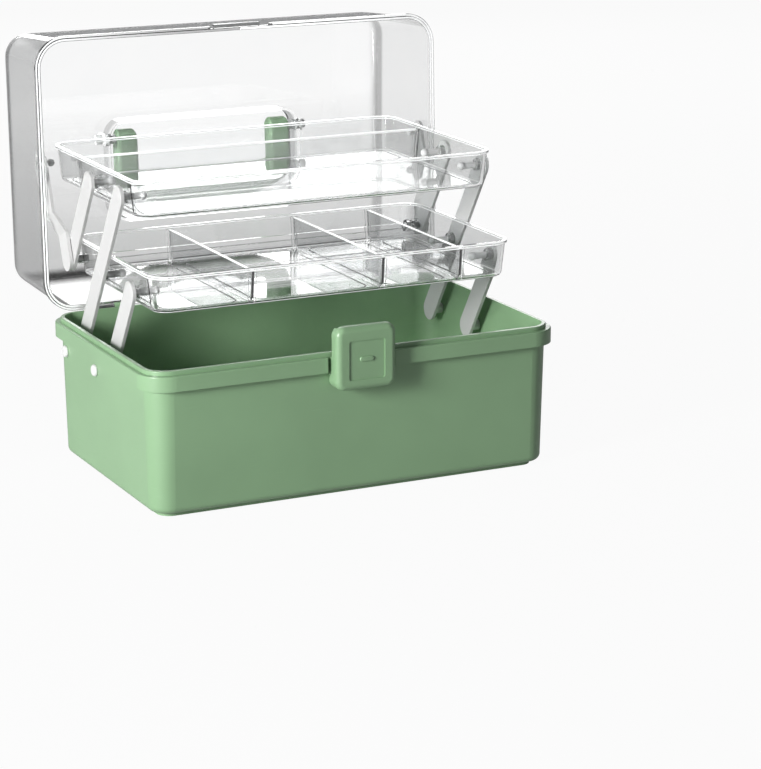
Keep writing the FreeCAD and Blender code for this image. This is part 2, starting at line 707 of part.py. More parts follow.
def handle():
    """A bail with two legs, a crowned grip and two finger grooves; its own origin is on its axis."""
    body = new_body("handle")
    sketch = new_sketch(body, "XY_Plane")
    half = handle_half
    leg = size.handle_leg / 2
    crown_low = size.handle_reach - size.handle_crown
    shoulder_x = half - size.handle_shoulder
    shoulder_y = crown_low + root_of_difference(size.handle_crown - size.handle_shoulder, shoulder_x)
    share = size.handle_crown / (size.handle_crown - size.handle_shoulder)
    meet_x = shoulder_x * share
    meet_y = crown_low + (shoulder_y - crown_low) * share
    inner = half - size.handle_leg
    grip_low = size.handle_reach - size.grip_height
    corner = size.handle_leg / 2
    groove_end = size.groove_width
    points = [
        (half, 0), (half, shoulder_y), (meet_x, meet_y), (-meet_x, meet_y), (-half, shoulder_y),
        (-half, 0), (-(half - leg), -leg), (-inner, 0), (-inner, grip_low - corner),
        (-(inner - corner), grip_low), (-groove_end, grip_low), (0, grip_low + size.groove_rise / 2),
        (groove_end, grip_low), (inner - corner, grip_low), (inner, grip_low - corner), (inner, 0),
        (half - leg, -leg),
    ]
    groove = groove_radius()
    arcs = {
        1: size.handle_shoulder, 2: size.handle_crown, 3: size.handle_shoulder, 5: leg, 6: leg,
        8: -corner, 10: -groove, 11: -groove, 13: -corner, 15: leg, 16: leg,
    }
    outline(sketch, points, arcs)
    plate = pad(body, sketch, size.handle_thickness, symmetric=True)
    top = size.handle_thickness / 2
    levels = (flat_at(top), flat_at(-top))
    fillet(body, plate, size.handle_edge, lambda edge: levels[0](edge) or levels[1](edge))
    ends = new_sketch(body, "YZ_Plane")
    outline(ends, ((0, -top), (-top, 0), (0, top), (-half, top), (-half, -top)), {0: -top, 1: -top})
    pocket(body, ends, handle_half * 2, symmetric=True)
    for side in (-1, 1):
        bore = new_sketch(body, "YZ_Plane", half * side)
        circle(bore, 0.0, 0.0, size.handle_pin_radius + size.bearing_gap)
        pocket(body, bore, size.handle_pin_grip + size.side_gap, backward=side < 0)
    body.Placement = on_open_lid(0.0, handle_y, handle_z)


def hypotenuse(one, other):
    value = math.hypot(one.value, other.value)
    return Size(value, f"sqrt(pow({one.text}; 2) + pow({other.text}; 2))")


def root_of_difference(long_side, short_side):
    """The other side of a right triangle with this long side and short side."""
    value = math.sqrt(long_side.value ** 2 - short_side.value ** 2)
    return Size(value, f"sqrt(pow({long_side.text}; 2) - pow({short_side.text}; 2))")


def groove_radius():
    """Radius of an arc over one groove's width that rises by the groove's height."""
    chord = size.groove_width / 2
    return (chord * chord + size.groove_rise * size.groove_rise) / (2 * size.groove_rise)


def handle_pins():
    """Pins through the recess walls, each with a retaining plate and a stub outside."""
    wall_face = size.recess_width / 2 + size.wall
    start = handle_half - size.handle_pin_grip
    for label, side in SIDES.items():
        body = new_body(f"{label}_handle_pin")
        shaft = new_sketch(body, "YZ_Plane", start)
        circle(shaft, 0.0, 0.0, size.handle_pin_radius)
        pad(body, shaft, wall_face + size.handle_pin_stub - start)
        plate = new_sketch(body, "YZ_Plane", wall_face + size.side_gap)
        rounded_rectangle(plate, size.pin_plate_width, size.pin_plate_height, size.pin_plate_thickness)
        pad(body, plate, size.pin_plate_thickness)
        body.Placement = on_open_lid(0.0, handle_y, handle_z).multiply(facing(side))


def facing(side):
    """Turns a piece made for the right side to face its own side."""
    return FreeCAD.Placement(ORIGIN, FreeCAD.Rotation(Z_AXIS, 0 if side > 0 else 180))


def at(x, y, z, rotation=None):
    place = FreeCAD.Vector(as_size(x).value, as_size(y).value, as_size(z).value)
    return FreeCAD.Placement(place, rotation or FreeCAD.Rotation())


# Hinge pins and latch

def plain_pin(name, start, length, y, z, radius):
    body = new_body(name)
    sketch = new_sketch(body, "YZ_Plane", start)
    circle(sketch, 0.0, 0.0, radius)
    pad(body, sketch, length)
    body.Placement = at(0.0, y, z)


def hinge_pins():
    for number, label in enumerate(SIDES):
        start = EARS[2 * number]
        length = 2 * (size.ear_width + size.knuckle_gap) + size.knuckle_width
        plain_pin(f"{label}_hinge_pin", start, length, hinge_y, hinge_z, size.hinge_pin_radius)


def latch():
    """A hollow clip with open back, round lower end, two pin rings and a shallow square on its face."""
    body = new_body("latch")
    pin_y = -latch_pin_front
    face_y = -latch_front
    low = latch_pin_z - size.latch_lobe
    top = size.tub_height + size.latch_top
    lobe_y = pin_y + size.latch_lobe
    shy_y = -lip_half_depth - size.round_gap
    step_z = lid_low - size.round_gap
    lid_y = -lid_inner_half_depth - size.wall - size.round_gap
    side_view = new_sketch(body, "YZ_Plane")
    outline(
        side_view,
        ((face_y, low), (pin_y, low), (lobe_y, latch_pin_z), (lobe_y, skirt_low - size.latch_pin_radius),
         (shy_y, skirt_low), (shy_y, step_z), (lid_y, step_z), (lid_y, top), (face_y, top)),
        {1: size.latch_lobe},
    )
    pad(body, side_view, size.latch_width, symmetric=True)
    for side in (-1, 1):
        for z, rise in ((low, size.latch_corner), (top, -size.latch_corner)):
            last = latch_corner(body, side, z, rise)
    fillet(body, last, size.latch_edge, on_plane("y", face_y))
    inner_y = face_y + size.latch_wall
    hook_y = -lid_inner_half_depth - size.wall - size.catch_reach - size.round_gap
    hollow = new_sketch(body, "YZ_Plane")
    roof = top - size.latch_wall
    floor = low + size.latch_wall
    sill_y = pin_y - size.latch_boss - size.round_gap
    back = -lip_half_depth + size.wall
    under, above = low - size.latch_wall, top + size.latch_wall
    outline(
        hollow,
        ((inner_y, floor), (sill_y, floor), (sill_y, under), (back, under), (back, above),
         (hook_y, above), (hook_y, roof), (inner_y, roof)),
    )
    pocket(body, hollow, size.latch_width - 2 * size.latch_wall, symmetric=True)
    for side in (-1, 1):
        ring = new_sketch(body, "YZ_Plane", latch_ring_end - size.ear_width if side > 0 else -latch_ring_end)
        tongue(ring, pin_y, latch_pin_z, size.latch_boss, inner_y - size.latch_wall / 2)
        pad(body, ring, size.ear_width)
    bore = new_sketch(body, "YZ_Plane")
    circle(bore, pin_y, latch_pin_z, size.latch_pin_radius + size.bearing_gap)
    pocket(body, bore, latch_ring_end * 2 + size.latch_wall, symmetric=True)
    square = new_sketch(body, "XZ_Plane", latch_front)
    middle = (low + top) / 2 - size.latch_wall / 2
    corner = size.latch_recess_depth * 2
    rounded_rectangle(square, size.latch_recess_width, size.latch_recess_height, corner, 0.0, middle)
    pocket(body, square, size.latch_recess_depth)


def latch_corner(body, side, z, rise):
    """Cuts one corner of the latch's front view round, at height z."""
    x = size.latch_width / 2 * side
    leftward = (side > 0) == (rise.value < 0)
    cut = new_sketch(body, "XZ_Plane")
    points = ((x, z), (x, z + rise), (x - size.latch_corner * side, z))
    outline(cut, points, {1: size.latch_corner if leftward else -size.latch_corner})
    return pocket(body, cut, latch_front * 2 + size.latch_wall, symmetric=True)


def latch_pin():
    start = -latch_pin_length / 2
    plain_pin("latch_pin", start, latch_pin_length, -latch_pin_front, latch_pin_z, size.latch_pin_radius)


# Trays

def inner_half(half_size, height):
    """Inner half size of a tray at a height above its floor."""
    return tray_wall_half(half_size, height) - size.tray_wall


def side_bosses(body, places, height):
    """Round bosses on both side walls, from inside the wall out to the bars."""
    face = arm_inner_face - size.side_gap
    for side in (-1, 1):
        sketch = new_sketch(body, "YZ_Plane", (face - size.boss_length) * side)
        for place in places:
            circle(sketch, place, height, size.boss_radius)
        pad(body, sketch, size.boss_length, backward=side < 0)


def tray(name, depth, tray_y, rim_z, pin_places, pin_z, corner_pin=None):
    """A drafted tray with a rim bead and a boss round each side pin; a corner pin has a lug inside."""
    body = new_body(name)
    floor_z = rim_z - size.tray_height
    low_radius = size.tray_radius - size.rim_width - size.tray_draft
    base = new_sketch(body, "XY_Plane")
    low_width = tray_wall_half(tray_half, 0.0) * 2
    low_depth = tray_wall_half(depth / 2, 0.0) * 2
    rounded_rectangle(base, low_width, low_depth, low_radius)
    outer = drafted(body, "Pad", base, size.tray_height, size.tray_draft)
    fillet(body, outer, size.tray_bottom_radius, flat_at(0.0))
    rim = new_sketch(body, "XY_Plane", size.tray_height - size.rim_height)
    rounded_rectangle(rim, tray_half * 2, depth, size.tray_radius)
    bead = pad(body, rim, size.rim_height)
    fillet(body, bead, size.rim_width / 2, flat_at(size.tray_height))
    pin_height = pin_z - floor_z
    side_bosses(body, [pin_y - tray_y for pin_y in pin_places], pin_height)
    inside = new_sketch(body, "XY_Plane", size.tray_wall)
    width = inner_half(tray_half, size.tray_wall) * 2
    length = inner_half(depth / 2, size.tray_wall) * 2
    rounded_rectangle(inside, width, length, low_radius - size.tray_wall)
    rise = size.tray_height - size.tray_wall
    cut = drafted(body, "Pocket", inside, rise, size.tray_draft / size.tray_height * rise)
    fillet(body, cut, size.tray_bottom_radius - size.tray_wall, flat_at(size.tray_wall))
    if corner_pin is not None:
        side_bosses(body, [corner_pin - tray_y], pin_height)
        pin_places = (*pin_places, corner_pin)
    bores = new_sketch(body, "YZ_Plane")
    for pin_y in pin_places:
        circle(bores, pin_y - tray_y, pin_height, size.arm_pin_radius + size.bearing_gap)
    pocket(body, bores, tray_half * 4, symmetric=True)
    body.Placement = at(0.0, tray_y, floor_z)
    return body


def rib_outline(sketch, half, side):
    """A rib up the drafted inner wall, on the side given."""
    foot, head = size.tray_wall / 2, size.tray_height - size.rim_height
    root = size.tray_wall / 2
    points = (
        (inner_half(half, foot) - size.slot_rib, foot), (inner_half(half, foot) + root, foot),
        (inner_half(half, head) + root, head), (inner_half(half, head) - size.slot_rib, head),
    )
    outline(sketch, [(u * side, v) for u, v in points])


def slot_ribs(body, half, role, centre):
    """Two pairs of ribs that hold a divider on its centre line."""
    near = size.divider_thickness / 2 + size.divider_gap
    for start in (centre + near, centre - near - size.slot_rib):
        offset = start if role == "YZ_Plane" else -start - size.slot_rib
        for side in (-1, 1):
            rib = new_sketch(body, role, offset)
            rib_outline(rib, half, side)
            pad(body, rib, size.slot_rib)


def divider(name, half, role, centre, place):
    """A drafted plate with clipped lower corners that stands in its slots."""
    body = new_body(name)
    low = size.tray_wall + size.divider_gap
    high = size.tray_height - size.divider_drop
    clip = size.tray_bottom_radius
    near, far = inner_half(half, low) - size.divider_gap, inner_half(half, high) - size.divider_gap
    bend = inner_half(half, low + clip) - size.divider_gap
    right = ((near - clip, low), (bend, low + clip), (far, high))
    left = [(-u, v) for u, v in reversed(right)]
    sketch = new_sketch(body, role, centre if role == "YZ_Plane" else -centre)
    outline(sketch, list(right) + left)
    pad(body, sketch, size.divider_thickness, symmetric=True)
    body.Placement = place


def trays():
    short_y = middle_y - size.arm_spacing
    places = (short_y, middle_y)
    lower = tray(
        "lower_tray", size.lower_tray_depth, lower_tray_y, lower_rim, places, middle_z, corner_pin=link_y
    )
    crosses = (size.cross_divider_1, size.cross_divider_2, size.cross_divider_3)
    for number, x in enumerate(crosses, start=1):
        slot_ribs(lower, size.lower_tray_depth / 2, "YZ_Plane", x)
        divider(f"lower_tray_divider_{number}", size.lower_tray_depth / 2, "YZ_Plane", x, lower.Placement)
    places = (top_y, top_y + size.link_spacing)
    upper = tray("upper_tray", size.upper_tray_depth, upper_tray_y, upper_rim, places, top_z)
    slot_ribs(upper, tray_half, "XZ_Plane", size.long_divider_y)
    divider("upper_tray_divider", tray_half, "XZ_Plane", size.long_divider_y, upper.Placement)


# Side bars, each made upright from its lower pin and turned to its place

arm_rotation = FreeCAD.Rotation(X_AXIS, size.arm_lean.value)
link_inner_face = arm_face + size.link_gap
open_pin_y = hinge_y - size.lid_pin_reach * cosine(size.lid_turn) + size.lid_pin_rise * sine(size.lid_turn)
open_pin_z = hinge_z + size.lid_pin_reach * sine(size.lid_turn) + size.lid_pin_rise * cosine(size.lid_turn)
link_reach = hypotenuse(open_pin_y - link_y, open_pin_z - middle_z)


def bar(name, side, reach, face, thickness):
    body = new_body(name)
    start = face - thickness if side > 0 else -face
    sketch = new_sketch(body, "YZ_Plane", start)
    bar_outline(sketch, size.arm_width, reach)
    pad(body, sketch, thickness)
    return body


def seat(body, side, face, height, radius, depth, inward):
    """A round seat cut into a bar from its inner face, or from its outer face if inward is False."""
    cut_positive = (side > 0) == inward
    sketch = new_sketch(body, "YZ_Plane", face * side)
    circle(sketch, 0.0, height, radius)
    pocket(body, sketch, depth, backward=cut_positive)


def side_bars():
    inner, outer = arm_inner_face, arm_face
    radius, depth = size.arm_pin_radius, size.arm_pin_seat
    short_y = arm_base_y - size.arm_spacing
    for label, side in SIDES.items():
        long_arm = bar(f"{label}_long_arm", side, 2 * size.arm_reach, outer, size.arm_thickness)
        seat(long_arm, side, outer, 0.0, radius, depth, False)
        seat(long_arm, side, inner, size.arm_reach, radius, depth, True)
        seat(long_arm, side, inner, 2 * size.arm_reach, radius, depth, True)
        long_arm.Placement = at(0.0, arm_base_y, arm_base_z, arm_rotation)
        short_arm = bar(f"{label}_short_arm", side, size.arm_reach, outer, size.arm_thickness)
        seat(short_arm, side, outer, 0.0, radius, depth, False)
        seat(short_arm, side, inner, size.arm_reach, radius, depth, True)
        short_arm.Placement = at(0.0, short_y, arm_base_z, arm_rotation)
        tray_link = bar(f"{label}_tray_link", side, size.arm_reach, outer, size.arm_thickness)
        seat(tray_link, side, inner, 0.0, radius, size.arm_thickness, True)
        seat(tray_link, side, inner, size.arm_reach, radius, depth, True)
        tray_link.Placement = at(0.0, link_y, middle_z, arm_rotation)
        lid_link(label, side)


def lid_link(label, side):
    """The bar from the lower tray's rear pin to the lid, stepped outward to the lid's wall."""
    outer = link_inner_face + size.arm_thickness + size.link_crank
    body = bar(f"{label}_lid_link", side, link_reach, outer, size.arm_thickness + size.link_crank)
    below, above = -size.arm_width, link_reach + size.arm_width
    bend = size.crank_start + size.crank_length
    face = link_inner_face + size.arm_thickness
    past, before = outer + size.arm_thickness, link_inner_face - size.arm_thickness
    outside = ((face, below), (past, below), (past, bend), (outer, bend), (face, size.crank_start))
    stepped = link_inner_face + size.link_crank
    inside = (
        (link_inner_face, size.crank_start), (stepped, bend), (stepped, above),
        (before, above), (before, size.crank_start),
    )
    for points in (outside, inside):
        cut = new_sketch(body, "XZ_Plane")
        outline(cut, [(u * side, v) for u, v in points])
        pocket(body, cut, size.arm_width + size.arm_thickness, symmetric=True)
    pin_seat = size.arm_pin_seat + size.side_gap
    seat(body, side, link_inner_face, 0.0, size.arm_pin_radius + size.bearing_gap, pin_seat, True)
    seat(body, side, stepped, link_reach, size.lid_pin_shaft + size.link_play, size.arm_thickness, True)
    lean = math.degrees(math.atan2((link_y - open_pin_y).value, (open_pin_z - middle_z).value))
    body.Placement = at(0.0, link_y, middle_z, FreeCAD.Rotation(X_AXIS, lean))


# Pins, each turned about its own axis and made for the right side

def turned(name, start, steps, ball=None, round_end=None):
    """A turned pin from start outward; steps are lengths with radii, ball a head on the inner end."""
    body = new_body(name)
    edges = [as_size(start)]
    for length, _ in steps:
        edges.append(edges[-1] + length)
    points = [(edges[-1], 0.0)]
    for number in range(len(steps) - 1, -1, -1):
        radius = steps[number][1]
        points.append((edges[number + 1], radius))
        points.append((edges[number], radius))
    arcs = {}
    if ball is None:
        points.append((edges[0], 0.0))
    else:
        reach = root_of_difference(ball, steps[0][1])
        centre = edges[0] - reach
        points[-1] = (edges[0], steps[0][1])
        arcs[len(points) - 1] = ball
        points.append((centre - ball, 0.0))
    sketch = new_sketch(body, "XZ_Plane")
    outline(sketch, points, arcs)
    feature = revolve(body, sketch)
    if round_end is not None:
        fillet(body, feature, round_end, on_plane("x", edges[-1]))
    return body


def tray_pin(name, side, height, end, y, z):
    wall_face = inner_half(tray_half, height)
    start = wall_face - size.head_reach
    body = turned(name, start, ((end - start, size.arm_pin_radius),), ball=size.head_radius)
    body.Placement = at(0.0, y, z).multiply(facing(side))


def pins():
    lower_height = size.tray_height - size.lower_pin_sink
    upper_height = size.tray_height - size.upper_pin_sink
    seated = arm_inner_face + size.arm_pin_seat
    wall_face = tub_wall_half(half_width, arm_base_z)
    short_y = arm_base_y - size.arm_spacing
    nib = arm_face - size.arm_pin_seat
    for label, side in SIDES.items():
        for arm, y in (("long", arm_base_y), ("short", short_y)):
            steps = (
                (size.arm_pin_seat, size.arm_pin_radius),
                (wall_face - size.wall - size.side_gap - arm_face, size.collar_radius),
                (size.wall + 2 * size.side_gap, size.arm_pin_radius),
                (size.dome_height, size.dome_radius),
            )
            rounding = size.dome_height - size.side_gap
            body = turned(f"{label}_{arm}_arm_base_pin", nib, steps, round_end=rounding)
            body.Placement = at(0.0, y, arm_base_z).multiply(facing(side))
        tray_pin(f"{label}_long_arm_mid_pin", side, lower_height, seated, middle_y, middle_z)
        tray_pin(f"{label}_long_arm_top_pin", side, upper_height, seated, top_y, top_z)
        short_top_y = middle_y - size.arm_spacing
        tray_pin(f"{label}_short_arm_top_pin", side, lower_height, seated, short_top_y, middle_z)
        lug_face = arm_inner_face - size.side_gap - size.boss_length
        through = link_inner_face + size.arm_pin_seat
        body = turned(f"{label}_tray_link_lower_pin", lug_face, ((through - lug_face, size.arm_pin_radius),))
        body.Placement = at(0.0, link_y, middle_z).multiply(facing(side))
        link_top_y = top_y + size.link_spacing
        tray_pin(f"{label}_tray_link_top_pin", side, upper_height, seated, link_top_y, top_z)
        lid_link_pin(label, side)


def lid_link_pin(label, side):
    start = link_inner_face + size.link_crank - size.lid_pin_ball_reach
    end = lid_wall_half(lid_inner_half_width, lid_pin_z) - size.lid_pin_cover
    steps = ((end - start, size.lid_pin_shaft),)
    body = turned(f"{label}_lid_link_pin", start, steps, ball=size.lid_pin_ball)
    body.Placement = on_open_lid(0.0, lid_pin_y, lid_pin_z).multiply(facing(side))


# The whole box

def build():
    base_tub()
    lid_shell()
    handle()
    handle_pins()
    hinge_pins()
    latch()
    latch_pin()
    trays()
    side_bars()
    pins()
    doc.recompute()


def write_parts():
    """Checks every object, then writes each sub-part to a file of its own."""
    for item in doc.Objects:
        if "Invalid" in item.State or "Error" in item.State:
            raise ValueError(f"{item.Name} failed: {item.State}")
    bodies = [item for item in doc.Objects if item.TypeId == "PartDesign::Body"]
    for body in bodies:
        if body.Shape.isNull() or not body.Shape.isValid() or len(body.Shape.Solids) != 1:
            raise ValueError(f"{body.Label} is not one valid solid")
    os.makedirs("parts", exist_ok=True)
    for body in bodies:
        body.Shape.exportStep(f"parts/{body.Label}.step")
    print(len(bodies), "sub-parts written")


build()
write_parts()
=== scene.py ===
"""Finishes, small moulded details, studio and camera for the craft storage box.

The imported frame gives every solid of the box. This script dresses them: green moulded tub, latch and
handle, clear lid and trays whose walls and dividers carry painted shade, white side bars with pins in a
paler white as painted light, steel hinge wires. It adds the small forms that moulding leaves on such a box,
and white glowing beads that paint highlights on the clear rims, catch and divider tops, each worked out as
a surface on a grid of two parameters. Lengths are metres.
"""

from __future__ import annotations

import enum
import logging
import math
from collections.abc import Mapping, Sequence
from dataclasses import dataclass, field

import bpy
import numpy as np
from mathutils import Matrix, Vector

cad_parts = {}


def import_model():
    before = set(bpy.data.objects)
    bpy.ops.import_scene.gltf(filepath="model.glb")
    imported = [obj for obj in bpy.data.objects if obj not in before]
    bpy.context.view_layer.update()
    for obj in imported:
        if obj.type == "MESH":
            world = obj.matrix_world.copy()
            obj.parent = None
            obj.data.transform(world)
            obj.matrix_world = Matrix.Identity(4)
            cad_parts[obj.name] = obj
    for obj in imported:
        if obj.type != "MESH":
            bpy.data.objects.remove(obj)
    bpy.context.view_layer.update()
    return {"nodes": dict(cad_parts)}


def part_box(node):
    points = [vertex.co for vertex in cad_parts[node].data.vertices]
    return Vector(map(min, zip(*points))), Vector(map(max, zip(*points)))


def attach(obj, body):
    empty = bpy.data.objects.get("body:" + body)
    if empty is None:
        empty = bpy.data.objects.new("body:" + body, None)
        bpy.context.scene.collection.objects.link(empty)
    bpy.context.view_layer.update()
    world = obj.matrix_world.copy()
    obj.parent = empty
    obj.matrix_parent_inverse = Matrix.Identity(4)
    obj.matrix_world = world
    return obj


LOG = logging.getLogger("craft_box")

Colour = tuple[float, float, float, float]
Grid = np.ndarray

PLASTIC_IOR = 1.49
WHITE_LIGHT: Colour = (1.0, 1.0, 1.0, 1.0)
# Corner radius of a half-round end as a share of its half width, so that no two points meet
NEARLY_ROUND = 0.999


# Shader maths


class Value:
    """A node socket that takes part in sums.

    Each operator adds one Math node to the material and returns its output.
    """

    def __init__(self, nodes: Nodes, socket: bpy.types.NodeSocket) -> None:
        """Keeps the socket and the maker of further nodes."""
        self.nodes = nodes
        self.socket = socket

    def _math(self, operation: str, first: Value | float, second: Value | float) -> Value:
        """The output of one Math node on two terms."""
        return self.nodes.add("ShaderNodeMath", {0: first, 1: second}, operation=operation)

    def __add__(self, other: Value | float) -> Value:
        """This plus the other."""
        return self._math("ADD", self, other)

    def __radd__(self, other: float) -> Value:
        """The other plus this."""
        return self._math("ADD", other, self)

    def __sub__(self, other: Value | float) -> Value:
        """This minus the other."""
        return self._math("SUBTRACT", self, other)

    def __rsub__(self, other: float) -> Value:
        """The other minus this."""
        return self._math("SUBTRACT", other, self)

    def __mul__(self, other: Value | float) -> Value:
        """This times the other."""
        return self._math("MULTIPLY", self, other)

    def __rmul__(self, other: float) -> Value:
        """The other times this."""
        return self._math("MULTIPLY", other, self)

    def clipped(self) -> Value:
        """This, held between 0 and 1."""
        return self.nodes.add("ShaderNodeClamp", {"Value": self, "Min": 0.0, "Max": 1.0})


class Nodes:
    """Builds one material's or world's node tree."""

    def __init__(self, tree: bpy.types.NodeTree) -> None:
        """Clears the tree."""
        self.tree = tree
        tree.nodes.clear()

    def add(
        self, kind: str, sockets: Mapping[str | int, object], output: str | int = 0, **settings: object
    ) -> Value:
        """Adds any node.

        Args:
            kind: the node's type.
            sockets: values or links by socket name or number.
            output: the output that is returned.
            settings: the node's properties.

        Returns:
            The chosen output.
        """
        node = self.tree.nodes.new(kind)
        for name, setting in settings.items():
            setattr(node, name, setting)
        for name, given in sockets.items():
            if isinstance(given, Value):
                self.tree.links.new(given.socket, node.inputs[name])
            else:
                node.inputs[name].default_value = given
        return Value(self, node.outputs[output])

    def constant(self, number: float) -> Value:
        """A node that holds a number.

        Args:
            number: what it holds.

        Returns:
            Its output.
        """
        held = self.add("ShaderNodeValue", {})
        held.socket.default_value = number
        return held

    def object_point(self) -> Value:
        """The point on the object, in metres."""
        return self.add("ShaderNodeTexCoord", {}, "Object")

    def part(self, point: Value, axis: str) -> Value:
        """The point's X, Y or Z."""
        return self.add("ShaderNodeSeparateXYZ", {"Vector": point}, axis)

    def stretched(self, point: Value, scale: tuple[float, float, float], turn: float = 0.0) -> Value:
        """The point turned about X and Z by an angle, then scaled along each axis."""
        mapping = {"Vector": point, "Scale": scale, "Rotation": (turn, 0.0, turn)}
        return self.add("ShaderNodeMapping", mapping)

    def noise(self, point: Value, scale: float, detail: float) -> Value:
        """Smooth noise from 0 to 1 with so many features per metre and so many finer layers."""
        return self.add("ShaderNodeTexNoise", {"Vector": point, "Scale": scale, "Detail": detail}, "Fac")

    def window(self, value: Value, low: float, high: float) -> Value:
        """0 below low, 1 above high and a straight rise between."""
        limits = {"Value": value, "From Min": low, "From Max": high}
        return self.add("ShaderNodeMapRange", limits, "Result")

    def blend(self, share: Value, first: Colour | Value, second: Colour | Value) -> Value:
        """The first colour where share is 0 and the second where it is 1.

        A Mix node set to colours has them at sockets 6 and 7 and their mixture at output 2.
        """
        return self.add("ShaderNodeMix", {0: share, 6: first, 7: second}, 2, data_type="RGBA")

    def bump(self, height: Value, distance: float, strength: float, below: Value | None = None) -> Value:
        """A normal from a height of 0 to 1.

        Args:
            height: the pattern.
            distance: metres that a height of 1 stands for.
            strength: share of the effect.
            below: a normal that this one is laid over.

        Returns:
            The normal.
        """
        sockets: dict[str | int, object] = {"Height": height, "Distance": distance, "Strength": strength}
        if below is not None:
            sockets["Normal"] = below
        return self.add("ShaderNodeBump", sockets)

    def light_path(self, output: str) -> Value:
        """What the Light Path node says of a ray."""
        return self.add("ShaderNodeLightPath", {}, output)

    def mixed(self, share: Value, first: Value, second: Value) -> Value:
        """The first shader where share is 0 and the second where it is 1."""
        return self.add("ShaderNodeMixShader", {0: share, 1: first, 2: second})

    def surface(self, shader: Value, kind: str = "ShaderNodeOutputMaterial") -> None:
        """Links the shader to a new output node of a kind."""
        output = self.tree.nodes.new(kind)
        self.tree.links.new(shader.socket, output.inputs["Surface"])


def new_material(name: str) -> tuple[bpy.types.Material, Nodes]:
    """Makes an empty material.

    Args:
        name: its name.

    Returns:
        The material and the maker of its nodes.
    """
    material = bpy.data.materials.new(name)
    material.use_nodes = True
    return material, Nodes(material.node_tree)


def scaled(colour: Colour, factors: Sequence[float]) -> Colour:
    """The colour with red, green and blue each taken times a factor, at most 1."""
    red, green, blue = (min(share * factor, 1.0) for share, factor in zip(colour, factors))
    return (red, green, blue, 1.0)


# Finishes


@dataclass(frozen=True)
class Pattern:
    """Smooth noise over a surface.

    Attributes:
        scale: features per metre.
        detail: how many finer layers it has.
    """

    scale: float
    detail: float

    def level(self, nodes: Nodes, point: Value) -> Value:
        """The noise at the point, from 0 to 1."""
        return nodes.noise(point, self.scale, self.detail)


@dataclass(frozen=True)
class Relief:
    """A pattern that lifts the surface in the shading.

    Attributes:
        pattern: the noise.
        depth: metres that a level of 1 stands for.
        strength: share of the effect.
    """

    pattern: Pattern
    depth: float
    strength: float

    def normal(self, nodes: Nodes, point: Value, below: Value | None = None) -> Value:
        """The normal of the lifted surface, laid over another normal."""
        return nodes.bump(self.pattern.level(nodes, point), self.depth, self.strength, below)


@dataclass(frozen=True)
class Scuffs:
    """Fine rubbed lines, as storage boxes get from use.

    Attributes:
        across: lines per metre across their run.
        along: lines per metre along their run.
        turn: turn of their run, in radians.
        rarity: noise level from which a line shows; higher is rarer.
        fade: further levels over which a line comes up.
        depth: metres that a line is lower.
        strength: share of that depth in the shading.
    """

    across: float = 700.0
    along: float = 42.0
    turn: float = 0.5
    rarity: float = 0.70
    fade: float = 0.07
    depth: float = 0.00002
    strength: float = 0.5

    def mask(self, nodes: Nodes, point: Value) -> Value:
        """1 on a line and 0 beside it: noise on stretched coordinates, cut at a level."""
        run = nodes.stretched(point, (self.along, self.along, self.across), self.turn)
        return nodes.window(nodes.noise(run, 1.0, 1.0), self.rarity, self.rarity + self.fade)

    def normal(self, nodes: Nodes, mask: Value, below: Value) -> Value:
        """The normal of the rubbed surface, laid over another normal."""
        return nodes.bump(1.0 - mask, self.depth, self.strength, below)


